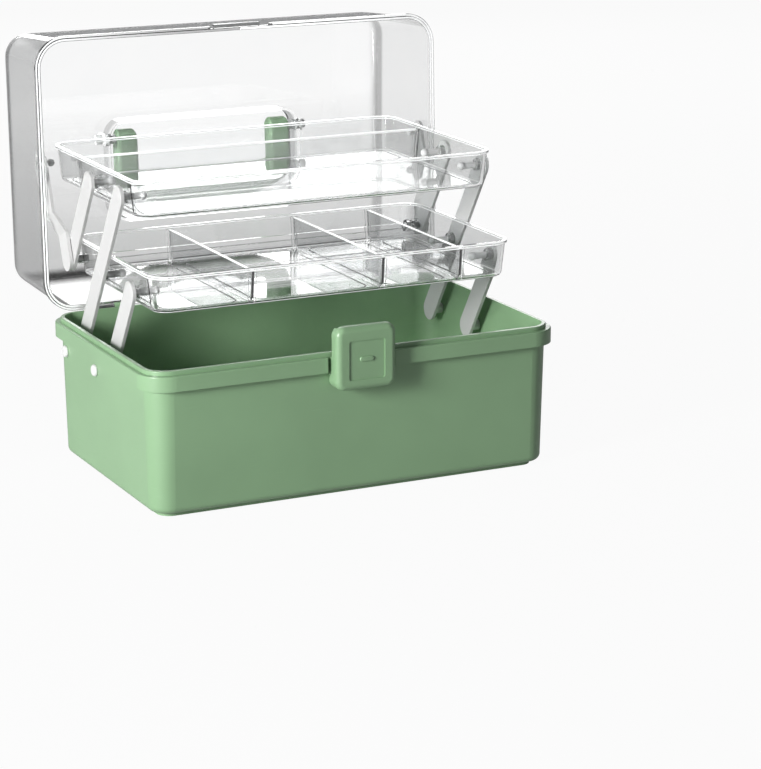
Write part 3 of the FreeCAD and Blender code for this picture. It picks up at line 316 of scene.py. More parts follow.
@dataclass(frozen=True)
class MouldedPlastic:
    """Opaque moulded plastic with faint flow clouds, fine grain and scuffs.

    Attributes:
        name: the material's name.
        colour: its colour, linear.
        cloud: how much lighter or darker the flow clouds are.
        roughness: of the clean surface.
        coat: share of clear gloss on top.
        coat_roughness: of that gloss.
        foot: height up to which the table has rubbed it; 0 for none.
        foot_share: how much of a scuff the rubbed foot has.
        glow: emission that paints a highlight on the part, though it is no lamp; 0 for none.
        pale: factor of rubbed plastic's lightness.
        rubbed_share: share of that lightness on a scuff.
        cloud_rough: roughness that a cloud adds.
        speckle_rough: roughness that a speckle adds.
        rubbed_rough: roughness that a scuff adds.
        tone_levels: noise levels between which the clouds change the colour.
        gloss_levels: noise levels between which they change the roughness.
        clouds: the flow clouds.
        speckles: the fine speckles.
        patches: the rubbed patches of the foot.
        swell: slow waves of the surface.
        grain: the mould's fine grain.
        scuffs: the rubbed lines.
    """

    name: str
    colour: Colour
    cloud: float = 0.06
    roughness: float = 0.3
    coat: float = 0.12
    coat_roughness: float = 0.26
    foot: float = 0.0
    foot_share: float = 0.8
    glow: float = 0.0
    pale: float = 1.3
    rubbed_share: float = 0.12
    cloud_rough: float = 0.05
    speckle_rough: float = 0.04
    rubbed_rough: float = 0.18
    tone_levels: tuple[float, float] = (0.3, 0.7)
    gloss_levels: tuple[float, float] = (0.2, 0.8)
    clouds: Pattern = Pattern(11.0, 3.0)
    speckles: Pattern = Pattern(1400.0, 1.0)
    patches: Pattern = Pattern(90.0, 4.0)
    swell: Relief = Relief(Pattern(16.0, 1.0), 0.0006, 0.25)
    grain: Relief = Relief(Pattern(2600.0, 2.0), 0.00003, 0.5)
    scuffs: Scuffs = Scuffs()

    def shade(self, factor: float) -> Colour:
        """The colour made darker or lighter by a factor."""
        return scaled(self.colour, (factor, factor, factor))

    def rubbed(self, nodes: Nodes, point: Value) -> Value:
        """How rubbed the plastic is at the point: 1 on a scuff, and patches near the table.

        Args:
            nodes: the material's nodes.
            point: the point on the object.

        Returns:
            A level from 0 to 1.
        """
        lines = self.scuffs.mask(nodes, point)
        if self.foot <= 0.0:
            return lines
        low = 1.0 - nodes.window(nodes.part(point, "Z"), 0.0, self.foot)
        return (lines + low * self.patches.level(nodes, point) * self.foot_share).clipped()

    def build(self) -> bpy.types.Material:
        """Makes the material.

        Returns:
            A material with one Principled shader.
        """
        material, nodes = new_material(self.name)
        point = nodes.object_point()
        clouds = self.clouds.level(nodes, point)
        rubbed = self.rubbed(nodes, point)
        darker, lighter = self.shade(1.0 - self.cloud), self.shade(1.0 + self.cloud)
        tone = nodes.blend(nodes.window(clouds, *self.tone_levels), darker, lighter)
        speckled = self.speckles.level(nodes, point) * self.speckle_rough + self.roughness
        clouded = nodes.window(clouds, *self.gloss_levels) * self.cloud_rough
        rough = clouded + speckled + rubbed * self.rubbed_rough
        grain = self.grain.normal(nodes, point, self.swell.normal(nodes, point))
        shader = nodes.add(
            "ShaderNodeBsdfPrincipled",
            {
                "Base Color": nodes.blend(rubbed * self.rubbed_share, tone, self.shade(self.pale)),
                "Roughness": rough.clipped(),
                "Normal": self.scuffs.normal(nodes, rubbed, grain),
                "Coat Weight": self.coat,
                "Coat Roughness": self.coat_roughness,
                "IOR": PLASTIC_IOR,
                # Emission paints a highlight on the part; only the painted highlight finish has any.
                "Emission Color": WHITE_LIGHT,
                "Emission Strength": self.glow,
            },
        )
        nodes.surface(shader)
        return material


@dataclass(frozen=True)
class DensityAndShade:
    """A straight change of a clear moulding's greyness along one axis, partly painted shade.

    Attributes:
        axis: X, Y or Z.
        start: place where the change starts, in metres.
        end: place where it is complete.
        amount: greyness that is added there, as a share; less than 0 takes it away.
    """

    axis: str
    start: float
    end: float
    amount: float

    def share(self, nodes: Nodes, point: Value) -> Value:
        """The greyness that this change adds at the point."""
        return nodes.window(nodes.part(point, self.axis), self.start, self.end) * self.amount


@dataclass(frozen=True)
class ClearPlastic:
    """Clear moulded plastic: a bending, faintly grey pane that lets the lamps through.

    Its walls are made greyer than its panels by position: partly for the longer way light runs in them,
    partly as painted shade set wall by wall to how each is lit.

    Attributes:
        name: the material's name.
        tint: what one pass through a surface leaves of the light.
        shade: what the pane leaves of a lamp's light.
        densities: where it is greyer, partly painted shade.
        grey: what one pass leaves where it is greyest.
        hazed: what haze leaves of the tint's red, green and blue.
        haze_levels: noise levels between which the haze comes up.
        roughness: of the clean surface.
        haze_rough: roughness that haze adds.
        rubbed_rough: roughness that a scuff adds.
        gloss: level of its mirror reflections.
        haze: the clouds of haze.
        swell: slow waves of the surface.
        scuffs: the rubbed lines.
    """

    name: str
    tint: Colour
    shade: Colour
    densities: tuple[DensityAndShade, ...] = ()
    grey: Colour = (0.02, 0.02, 0.02, 1.0)
    hazed: tuple[float, float, float] = (0.985, 0.987, 0.99)
    haze_levels: tuple[float, float] = (0.35, 0.7)
    roughness: float = 0.015
    haze_rough: float = 0.012
    rubbed_rough: float = 0.1
    gloss: float = 0.38
    haze: Pattern = Pattern(30.0, 3.0)
    swell: Relief = Relief(Pattern(9.0, 0.0), 0.0004, 0.08)
    scuffs: Scuffs = Scuffs(across=900.0, along=22.0, turn=0.8, rarity=0.7, depth=0.00001, strength=0.12)

    def greyness(self, nodes: Nodes, point: Value) -> Value:
        """The sum of all densities at the point, held between 0 and 1."""
        shares = (density.share(nodes, point) for density in self.densities)
        return sum(shares, nodes.constant(0.0)).clipped()

    def build(self) -> bpy.types.Material:
        """Makes the material.

        Returns:
            A Principled shader with full transmission, opened for rays from lamps.
        """
        material, nodes = new_material(self.name)
        point = nodes.object_point()
        rubbed = self.scuffs.mask(nodes, point)
        haze = self.haze.level(nodes, point)
        hazed = scaled(self.tint, self.hazed)
        clear = nodes.blend(nodes.window(haze, *self.haze_levels), self.tint, hazed)
        rough = haze * self.haze_rough + rubbed * self.rubbed_rough + self.roughness
        shader = nodes.add(
            "ShaderNodeBsdfPrincipled",
            {
                "Base Color": nodes.blend(self.greyness(nodes, point), clear, self.grey),
                "Roughness": rough.clipped(),
                "Normal": self.scuffs.normal(nodes, rubbed, self.swell.normal(nodes, point)),
                "Transmission Weight": 1.0,
                "IOR": PLASTIC_IOR,
                "Specular IOR Level": self.gloss,
            },
        )
        opened = nodes.add("ShaderNodeBsdfTransparent", {"Color": self.shade})
        nodes.surface(nodes.mixed(nodes.light_path("Is Shadow Ray"), shader, opened))
        return material


@dataclass(frozen=True)
class DrawnWire:
    """Drawn steel wire with fine rings round it.

    Attributes:
        name: the material's name.
        colour: its colour, linear.
        stained: what a stain leaves of red, green and blue.
        rings: features per metre along X, Y and Z; many along X make the rings.
        ring_rough: roughness that a ring adds.
        ring_depth: metres that a ring is higher.
        ring_strength: share of that height in the shading.
        roughness: of the clean surface.
        stains: the stains.
    """

    name: str = "drawn_wire"
    colour: Colour = (0.52, 0.53, 0.54, 1.0)
    stained: tuple[float, float, float] = (0.8, 0.8, 0.82)
    rings: tuple[float, float, float] = (3000.0, 60.0, 60.0)
    ring_rough: float = 0.2
    ring_depth: float = 0.00002
    ring_strength: float = 0.5
    roughness: float = 0.22
    stains: Pattern = Pattern(220.0, 3.0)

    def build(self) -> bpy.types.Material:
        """Makes the metal: noise stretched across X gives the drawing rings.

        Returns:
            A material with one metallic Principled shader.
        """
        material, nodes = new_material(self.name)
        point = nodes.object_point()
        rings = nodes.noise(nodes.stretched(point, self.rings), 1.0, 2.0)
        stain = self.stains.level(nodes, point)
        shader = nodes.add(
            "ShaderNodeBsdfPrincipled",
            {
                "Base Color": nodes.blend(stain, scaled(self.colour, self.stained), self.colour),
                "Metallic": 1.0,
                "Roughness": rings * self.ring_rough + self.roughness,
                "Normal": nodes.bump(rings, self.ring_depth, self.ring_strength),
            },
        )
        nodes.surface(shader)
        return material


class Finish(enum.Enum):
    """The finishes of the box."""

    GREEN = MouldedPlastic(
        "sage_green_moulded", (0.268, 0.440, 0.248, 1.0), roughness=0.34, coat=0.5, foot=0.012
    )
    GREEN_HANDLE = MouldedPlastic("sage_green_handle", (0.255, 0.410, 0.236, 1.0), roughness=0.36, coat=0.3)
    WHITE = MouldedPlastic("white_moulded", (0.64, 0.64, 0.635, 1.0), cloud=0.015, roughness=0.32)
    # The bars' white plastic made paler for the pins: painted light for the shade that they sit in.
    WHITE_PIN = MouldedPlastic("white_pins", (0.76, 0.76, 0.755, 1.0), cloud=0.015, roughness=0.3)
    CLEAR_LID = ClearPlastic(
        "clear_lid_plastic",
        (0.995, 0.997, 0.996, 1.0),
        (0.68, 0.69, 0.69, 1.0),
        (
            # The walls are set greyer one by one, the left more than the right: partly longer paths in the
            # plastic, partly painted shade.
            DensityAndShade("X", -0.1530, -0.1575, 0.30),
            DensityAndShade("X", 0.1530, 0.1575, 0.16),
            DensityAndShade("Z", 0.1210, 0.1160, 0.60),
            DensityAndShade("Z", 0.3045, 0.3080, 0.36),
            DensityAndShade("Y", 0.1985, 0.1965, 0.38),
            DensityAndShade("Y", 0.1880, 0.1860, -0.38),
        ),
    )
    CLEAR_TRAY = ClearPlastic(
        "clear_tray_plastic",
        (0.945, 0.950, 0.948, 1.0),
        (0.68, 0.69, 0.69, 1.0),
        # The side walls are set greyer, the right more than the left: partly longer paths in the plastic,
        # partly painted shade.
        (DensityAndShade("X", -0.134, -0.139, 0.24), DensityAndShade("X", 0.134, 0.139, 0.28)),
    )
    # The tray's clear plastic made much greyer for the lower dividers: painted shade.
    CLEAR_DIVIDER = ClearPlastic("clear_divider_plastic", (0.64, 0.65, 0.65, 1.0), (0.45, 0.46, 0.46, 1.0))
    # Painted highlight: white, glossy and glowing, laid as beads on the clear rims, catch and divider tops
    # to stand for their bright lines.
    EDGE = MouldedPlastic(
        "polished_edge", (0.80, 0.81, 0.81, 1.0), cloud=0.01, roughness=0.12, coat=0.6, glow=0.42
    )
    WIRE = DrawnWire()


# Surfaces on grids


class Facing(enum.Enum):
    """Ways a small form may face: the rows are the directions of its own X, Y and height."""

    UP = ((1.0, 0.0, 0.0), (0.0, 1.0, 0.0), (0.0, 0.0, 1.0))
    FRONT = ((1.0, 0.0, 0.0), (0.0, 0.0, 1.0), (0.0, -1.0, 0.0))
    LEFT = ((0.0, -1.0, 0.0), (0.0, 0.0, 1.0), (-1.0, 0.0, 0.0))
    RIGHT = ((0.0, 1.0, 0.0), (0.0, 0.0, 1.0), (1.0, 0.0, 0.0))

    def place(self, grid: Grid, centre: Sequence[float]) -> Grid:
        """The grid turned to face this way and moved so that its own origin is at the centre."""
        return grid @ np.array(self.value) + np.array(centre)


@dataclass(frozen=True)
class Loop:
    """A rounded rectangle, run anticlockwise from the middle of its rear side.

    Attributes:
        half_x: half size along X.
        half_y: half size along Y.
        radius: of its corners.
        middle: its centre.
    """

    half_x: float
    half_y: float
    radius: float
    middle: tuple[float, float] = (0.0, 0.0)

    @classmethod
    def pill(cls, half_x: float, half_y: float, middle: tuple[float, float] = (0.0, 0.0)) -> Loop:
        """A loop whose shorter sides are half round."""
        return cls(half_x, half_y, NEARLY_ROUND * min(half_x, half_y), middle)

    def stations(self, per_corner: int = 12) -> tuple[Grid, Grid]:
        """Points and outward normals.

        A corner's point at angle a is its centre + radius·(cos a, sin a), with normal (cos a, sin a).

        Args:
            per_corner: points on each corner.

        Returns:
            Points and normals, each of shape (stations, 2).
        """
        quarters = np.arange(1, 5) * math.pi / 2
        angle = np.linspace(0.0, math.pi / 2, per_corner)[None, :] + quarters[:, None]
        normal = np.stack([np.cos(angle), np.sin(angle)], axis=-1)
        signs = np.array([(-1, 1), (-1, -1), (1, -1), (1, 1)])[:, None, :]
        inner = np.array([self.half_x - self.radius, self.half_y - self.radius])
        corners = signs * inner + self.radius * normal
        points = np.concatenate([[[0.0, self.half_y]], corners.reshape(-1, 2)])
        normals = np.concatenate([[[0.0, 1.0]], normal.reshape(-1, 2)])
        return points + np.array(self.middle), normals

    def stretch(self, start: float, end: float) -> tuple[Grid, Grid]:
        """The part of the loop between two distances run from its start.

        Args:
            start: metres from the middle of the rear side.
            end: metres to the part's end, short of the loop's whole length.

        Returns:
            Points and normals of the part.
        """
        points, normals = self.stations()
        points = np.concatenate([points, points[:1]])
        normals = np.concatenate([normals, normals[:1]])
        run = np.concatenate([[0.0], np.cumsum(np.linalg.norm(np.diff(points, axis=0), axis=1))])
        places = np.unique(np.concatenate([[start], run[(run > start) & (run < end)], [end]]))
        return (
            np.stack([np.interp(places, run, points[:, k]) for k in (0, 1)], axis=-1),
            np.stack([np.interp(places, run, normals[:, k]) for k in (0, 1)], axis=-1),
        )

    def length(self) -> float:
        """Length of the loop."""
        straight = 4 * (self.half_x + self.half_y - 2 * self.radius)
        return straight + 2 * math.pi * self.radius


def bead(path: tuple[Grid, Grid], width: float, height: float, level: float, around: int = 12) -> Grid:
    """A rounded bead along a path.

    At angle b its section lies at path + normal·(width/2)·cos b, and at level + height·sin b.

    Args:
        path: points and outward normals.
        width: of the bead.
        height: of the bead over and under its level.
        level: height of its middle.
        around: points of the section.

    Returns:
        A grid of shape (stations, around, 3).
    """
    points, normals = path
    angle = -np.linspace(0.0, 2 * math.pi, around, endpoint=False)
    flat = points[:, None, :] + normals[:, None, :] * (width / 2 * np.cos(angle))[None, :, None]
    up = np.broadcast_to(level + height * np.sin(angle), flat.shape[:2])
    return np.concatenate([flat, up[..., None]], axis=-1)


def cushion(loop: Loop, height: float, edge: float, rings: int = 7) -> Grid:
    """A low form with a rounded edge over a loop's outline.

    At angle t from 0 to 90 degrees a ring is the outline moved in by edge·(1 − cos t), at height·sin t.

    Args:
        loop: the outline of its foot.
        height: of the form.
        edge: width of its rounded edge.
        rings: rings from foot to top.

    Returns:
        A grid of shape (rings, stations, 3).
    """
    points, normals = loop.stations(per_corner=8)
    angle = np.linspace(0.0, math.pi / 2, rings)
    flat = points[None, :, :] - normals[None, :, :] * (edge * (1.0 - np.cos(angle)))[:, None, None]
    up = np.broadcast_to((height * np.sin(angle))[:, None], flat.shape[:2])
    return np.concatenate([flat, up[..., None]], axis=-1)


def disc(radius: float, height: float) -> Grid:
    """A low round button: a cushion whose outline is a circle."""
    return cushion(Loop.pill(radius, radius), height, height)


def skin(rows: int, columns: int, start: int, looped: bool) -> list[tuple[int, ...]]:
    """Faces of a grid that is closed round its columns.

    Args:
        rows: rings of the grid.
        columns: points of a ring.
        start: number of the grid's first point.
        looped: whether the last ring joins the first; otherwise both get a cap.

    Returns:
        Quads between neighbouring rings, and the caps.
    """
    bands = rows if looped else rows - 1
    row, column = np.meshgrid(np.arange(bands), np.arange(columns), indexing="ij")
    after = (column + 1) % columns
    ring, above = row * columns, (row + 1) % rows * columns
    corners = (ring + column, ring + after, above + after, above + column)
    quads = np.stack(corners, axis=-1).reshape(-1, 4) + start
    faces = [tuple(quad) for quad in quads.tolist()]
    if not looped:
        faces.append(tuple(range(start + columns - 1, start - 1, -1)))
        faces.append(tuple(range(start + (rows - 1) * columns, start + rows * columns)))
    return faces


# Pieces


@dataclass
class Piece:
    """A new piece that is made from grids.

    Attributes:
        name: its name.
        finish: its finish.
        body: the body that it rides on.
        slot: the record's material slot; not used.
        grids: its grids, each with whether its ends join.
    """

    name: str
    finish: Finish
    body: str
    slot: str
    grids: list[tuple[Grid, bool]] = field(default_factory=list)

    def add(self, grid: Grid, looped: bool = False) -> None:
        """Adds one closed surface."""
        self.grids.append((grid, looped))


class Workshop:
    """Makes each finish once, dresses solids and makes pieces."""

    def __init__(self) -> None:
        """Starts with no finish made."""
        self.made: dict[Finish, bpy.types.Material] = {}

    def material(self, finish: Finish) -> bpy.types.Material:
        """The finish's material, made on first use."""
        if finish not in self.made:
            self.made[finish] = finish.value.build()
        return self.made[finish]

    def dress(self, node: bpy.types.Object, finish: Finish) -> None:
        """Gives every material slot of a solid the finish.

        Args:
            node: the solid.
            finish: what it is made of.
        """
        if not node.material_slots:
            node.data.materials.append(self.material(finish))
        for slot in node.material_slots:
            slot.material = self.material(finish)
        LOG.info("dressed %s in %s", node.name, finish.value.name)

    def make(self, piece: Piece) -> None:
        """Makes a piece's mesh, at the origin, and puts it on its body.

        Args:
            piece: what to make.
        """
        points, faces, start = [], [], 0
        for grid, looped in piece.grids:
            rows, columns, _ = grid.shape
            points.append(grid.reshape(-1, 3))
            faces += skin(rows, columns, start, looped)
            start += rows * columns
        mesh = bpy.data.meshes.new(piece.name)
        mesh.from_pydata(np.concatenate(points).tolist(), [], faces)
        mesh.polygons.foreach_set("use_smooth", np.ones(len(mesh.polygons), dtype=bool))
        mesh.materials.append(self.material(piece.finish))
        mesh.update()
        made = bpy.data.objects.new(piece.name, mesh)
        bpy.context.scene.collection.objects.link(made)
        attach(made, piece.body)
        LOG.info("piece %s: %d faces on %s", piece.name, len(mesh.polygons), piece.body)


# Sub-assemblies


@dataclass
class Tub:
    """The tub's moulding marks.

    Attributes:
        floor: height of its inner floor.
        reach: from the middle to the outer ejector marks, along X and Y.
        mark_radius: of an ejector mark.
        mark_height: of an ejector mark.
    """

    floor: float = 0.0022
    reach: tuple[float, float] = (0.11, 0.055)
    mark_radius: float = 0.004
    mark_height: float = 0.00025

    def build(self, workshop: Workshop) -> None:
        """Low round marks that the ejectors left: four about one in the middle of the floor.

        Args:
            workshop: makes the piece.
        """
        piece = Piece("tub_ejector_marks", Finish.GREEN, "tub", "tub_green")
        mark = disc(self.mark_radius, self.mark_height)
        for way_x, way_y in ((-1, -1), (1, -1), (-1, 1), (1, 1), (0, 0)):
            centre = (way_x * self.reach[0], way_y * self.reach[1], self.floor)
            piece.add(Facing.UP.place(mark, centre))
        workshop.make(piece)


@dataclass
class Latch:
    """The latch's thumb pip.

    Attributes:
        face: how far in front of the middle the shallow square's floor is.
        height: of the pip's middle over the table.
        half_width: half the pip's width.
        half_height: half its height.
        rise: how far it stands out.
        edge: width of its rounded edge.
    """

    face: float = 0.1112
    height: float = 0.1045
    half_width: float = 0.0056
    half_height: float = 0.0020
    rise: float = 0.0010
    edge: float = 0.0008

    def build(self, workshop: Workshop) -> None:
        """A plain raised pill in the shallow square.

        Args:
            workshop: makes the piece.
        """
        pip = cushion(Loop.pill(self.half_width, self.half_height), self.rise, self.edge)
        piece = Piece("latch_thumb_pip", Finish.GREEN, "latch", "latch_green")
        piece.add(Facing.FRONT.place(pip, (0.0, -self.face, self.height)))
        workshop.make(piece)


@dataclass
class Tray:
    """A tray's painted highlight lines on rim and foot, the beads on its floor and painted highlights on
    its dividers' tops.

    Attributes:
        body: its name and its body's name.
        bays: for each bay, its limits along X and its limits along Y from the tray's middle.
        dividers: names of its dividers.
        half_width: half its width over the rim.
        radius: of its corners over the rim.
        rim_height: height of the rim's outer bead.
        line: width of a painted highlight line.
        foot_inset: from the rim in to the middle of the rounded foot.
        foot_rise: height of that place.
        wall: thickness of its floor.
        bay_radius: of a floor bead's corners.
        bay_bead: a floor bead's width, and its height over the floor.
        top_rise: height of the glowing form that paints a highlight on a divider's top.
        top_spare: how far it reaches past the divider's sides, as a share of its height.
        top_sunk: share of its height that lies under the divider's edge.
    """

    body: str
    bays: tuple[tuple[float, float, float, float], ...]
    dividers: tuple[str, ...]
    half_width: float = 0.1445
    radius: float = 0.016
    rim_height: float = 0.002
    line: float = 0.0009
    foot_inset: float = 0.00537
    foot_rise: float = 0.00117
    wall: float = 0.0018
    bay_radius: float = 0.009
    bay_bead: tuple[float, float] = (0.0012, 0.0004)
    top_rise: float = 0.0014
    top_spare: float = 0.4
    top_sunk: float = 0.75

    def build(self, workshop: Workshop) -> None:
        """Makes the painted highlight lines, the floor beads and the painted highlights on the divider
        tops.

        Args:
            workshop: makes the pieces.
        """
        low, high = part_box(self.body)
        middle = (0.0, (low[1] + high[1]) / 2)
        half_depth = (high[1] - low[1]) / 2
        rim, foot = (
            Loop(self.half_width - inset, half_depth - inset, self.radius - inset, middle)
            for inset in (self.line / 2, self.foot_inset)
        )
        # White glowing beads paint highlight lines on the rim and near the foot.
        edges = Piece(f"{self.body}_rim_highlight_lines", Finish.EDGE, self.body, "tray_clear")
        for level in (high[2] - self.line / 2, high[2] - self.rim_height):
            edges.add(bead(rim.stations(), self.line, self.line / 2, level), looped=True)
        edges.add(bead(foot.stations(), self.line, self.line / 3, low[2] + self.foot_rise), looped=True)
        workshop.make(edges)
        floor = Piece(f"{self.body}_floor_beads", Finish.CLEAR_TRAY, self.body, "tray_clear")
        for bay in self.bays:
            floor.add(self.bay_line(bay, middle[1], low[2] + self.wall), looped=True)
        workshop.make(floor)
        # Glowing forms paint a highlight on each divider's top.
        tops = Piece(f"{self.body}_divider_top_highlights", Finish.EDGE, self.body, "tray_clear")
        for name in self.dividers:
            tops.add(self.divider_top(name))
        workshop.make(tops)

    def bay_line(self, bay: tuple[float, float, float, float], tray_y: float, level: float) -> Grid:
        """A bead round a bay's floor.

        Args:
            bay: its limits along X, and along Y from the tray's middle.
            tray_y: Y of the tray's middle.
            level: height of the floor.

        Returns:
            The bead's grid.
        """
        left, right, front, rear = bay
        centre = ((left + right) / 2, tray_y + (front + rear) / 2)
        outline = Loop((right - left) / 2, (rear - front) / 2, self.bay_radius, centre)
        return bead(outline.stations(per_corner=8), *self.bay_bead, level)

    def divider_top(self, name: str) -> Grid:
        """A rounded glowing form along a divider's upper edge, a little wider than the divider, that paints
        a highlight there.

        Args:
            name: the divider's name.

        Returns:
            The form's grid.
        """
        low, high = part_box(name)
        half_x, half_y = (high[0] - low[0]) / 2, (high[1] - low[1]) / 2
        middle = ((low[0] + high[0]) / 2, (low[1] + high[1]) / 2)
        spare = self.top_rise * self.top_spare
        grow_x, grow_y = (-2 * spare, spare) if half_x > half_y else (spare, -2 * spare)
        outline = Loop.pill(half_x + grow_x, half_y + grow_y, middle)
        top = cushion(outline, self.top_rise, min(half_x, half_y))
        return top + np.array([0.0, 0.0, high[2] - self.top_rise * self.top_sunk])


@dataclass
class Lid:
    """The painted highlight lines on the lid's rim and catch.

    Attributes:
        hinge: Y and Z of the hinge axis.
        turn: how far the lid stands open, in radians.
        rim_height: of the closed lid's rim over the table.
        half_width: half width to the middle of the lid's wall at the rim.
        half_depth: half depth to the middle of the wall.
        radius: of its corners, at the middle of the wall.
        lines: for each painted highlight line, how far outside that middle it runs, its width and half of
            its gap at the latch.
        line_rise: height of a line over and under the rim's face.
        free_rear: half of the free rim between the hinges.
        past_hinges: from the middle to the free rim beyond a hinge.
        seam: gap between a line's end and the loop's end.
        catch: half width of the catch, its front edge from the middle and the heights of its two edges.
        catch_bead: width of a painted highlight line on the catch, and its height over and under the edge.
    """

    hinge: tuple[float, float] = (0.1045, 0.108)
    turn: float = math.radians(91.9)
    rim_height: float = 0.1062
    half_width: float = 0.1640
    half_depth: float = 0.1020
    radius: float = 0.0218
    lines: tuple[tuple[float, float, float], ...] = ((-0.00100, 0.0015, 0.0), (0.00105, 0.0012, 0.027))
    line_rise: float = 0.00022
    free_rear: float = 0.103
    past_hinges: float = 0.134
    seam: float = 0.0001
    catch: tuple[float, float, tuple[float, float]] = (0.0185, 0.1046, (0.1134, 0.1156))
    catch_bead: tuple[float, float] = (0.0006, 0.0003)

    def opened(self, grid: Grid) -> Grid:
        """The grid turned about the hinge as the lid opens.

        With y and z from the hinge, a point goes to (y·cos t + z·sin t, −y·sin t + z·cos t).

        Args:
            grid: points on the closed lid.

        Returns:
            The same points on the open lid.
        """
        along, up = grid[..., 1] - self.hinge[0], grid[..., 2] - self.hinge[1]
        cos, sin = math.cos(self.turn), math.sin(self.turn)
        y = self.hinge[0] + along * cos + up * sin
        z = self.hinge[1] - along * sin + up * cos
        return np.stack([grid[..., 0], y, z], axis=-1)

    def build(self, workshop: Workshop) -> None:
        """Glowing flat beads that paint highlight lines on the rim's end face, free of hinges and latch,
        and on the catch.

        Args:
            workshop: makes the pieces.
        """
        # White glowing beads paint highlight lines on the rim's end face.
        rims = Piece("lid_rim_bead", Finish.EDGE, "lid", "lid_clear")
        for out, width, gap in self.lines:
            rim = Loop(self.half_width + out, self.half_depth + out, self.radius + out)
            total = rim.length()
            stretches = (
                (self.past_hinges, total / 2 - gap),
                (total / 2 + gap, total - self.past_hinges),
                (0.0, self.free_rear),
                (total - self.free_rear, total - self.seam),
            )
            for start, end in stretches:
                line = bead(rim.stretch(start, end), width, self.line_rise, self.rim_height)
                rims.add(self.opened(line))
        workshop.make(rims)
        half, front, heights = self.catch
        path = np.array([[-half, -front], [half, -front]]), np.array([[0.0, -1.0], [0.0, -1.0]])
        # The same painted highlight lines on the catch's two edges.
        edges = Piece("lid_catch_edges", Finish.EDGE, "lid", "lid_clear")
        for height in heights:
            edges.add(self.opened(bead(path, *self.catch_bead, height)))
        workshop.make(edges)


@dataclass
class SideBars:
    """The low discs over the side bars' pins and the raised edge round each bar.

    Attributes:
        base: Y and Z of the long bar's base pin.
        reach: from pin to pin.
        lean: how far the bars lean forward, in radians.
        spacing: from the long bar forward to the short bar.
        link_spacing: from the long bar back to the tray link.
        face: outer face of the bars from the middle.
        radius: of a disc.
        disc_height: of a disc.
        edge_half: half the width between the raised edges.
        edge_bead: width of a raised edge, and its height over and under the bar's face.
    """

    base: tuple[float, float] = (0.0768, 0.0845)
    reach: float = 0.07865
    lean: float = math.radians(33.0)
    spacing: float = 0.062
    link_spacing: float = 0.060
    face: float = 0.1485
    radius: float = 0.0042
    disc_height: float = 0.00025
    edge_half: float = 0.0074
    edge_bead: tuple[float, float] = (0.0011, 0.00045)

    def along(self, spans: float, back: float = 0.0) -> tuple[float, float]:
        """Y and Z of the place so many spans up a long bar from its base pin, moved back."""
        run = spans * self.reach
        return self.base[0] - run * math.sin(self.lean) + back, self.base[1] + run * math.cos(self.lean)

    def bars(self) -> dict[str, tuple[list[tuple[float, float]], tuple[float, float], float]]:
        """Each kind of bar: the places of its discs, its middle, and its length from pin to pin."""
        short, link = -self.spacing, self.link_spacing
        return {
            "long_arm": ([self.along(1.0), self.along(2.0)], self.along(1.0), 2 * self.reach),
            "short_arm": ([self.along(1.0, short)], self.along(0.5, short), self.reach),
            "tray_link": ([self.along(2.0, link)], self.along(1.5, link), self.reach),
        }

    def edge(self, length: float, way: float) -> Grid:
        """The raised edge of one bar: a bead round a long loop that leans as the bar does.

        With a the bar's angle, a point x, y goes to (x·cos a − y·sin a, x·sin a + y·cos a).

        Args:
            length: of the bar from pin to pin.
            way: -1 on the left side and 1 on the right.

        Returns:
            The bead's grid.
        """
        loop = Loop.pill(length / 2 + self.edge_half, self.edge_half)
        x, y, height = np.moveaxis(bead(loop.stations(), *self.edge_bead, 0.0), -1, 0)
        angle = math.pi / 2 + way * self.lean
        cos, sin = math.cos(angle), math.sin(angle)
        return np.stack([x * cos - y * sin, x * sin + y * cos, height], axis=-1)

    def build(self, workshop: Workshop) -> None:
        """Makes the discs and the raised edge of each bar.

        Args:
            workshop: makes the pieces.
        """
        for side, way, facing in (("left", -1.0, Facing.LEFT), ("right", 1.0, Facing.RIGHT)):
            for bar, (places, middle, length) in self.bars().items():
                piece = Piece(f"{side}_{bar}_relief", Finish.WHITE, f"{side}_{bar}", "arm_white")
                for place in places:
                    piece.add(facing.place(disc(self.radius, self.disc_height), (way * self.face, *place)))
                piece.add(facing.place(self.edge(length, way), (way * self.face, *middle)), looped=True)
                workshop.make(piece)


# Studio


@dataclass(frozen=True)
class Lamp:
    """A soft box.

    Attributes:
        name: its name.
        place: where it hangs.
        target: what it faces.
        size: width and height.
        power: watts.
    """

    name: str
    place: tuple[float, float, float]
    target: tuple[float, float, float]
    size: tuple[float, float]
    power: float

    def build(self) -> None:
        """Hangs the lamp facing its target."""
        light = bpy.data.lights.new(self.name, "AREA")
        light.shape = "RECTANGLE"
        light.size, light.size_y = self.size
        light.energy = self.power
        lamp = bpy.data.objects.new(self.name, light)
        lamp.location = self.place
        way = Vector(self.target) - Vector(self.place)
        lamp.rotation_euler = way.to_track_quat("-Z", "Y").to_euler()
        bpy.context.scene.collection.objects.link(lamp)


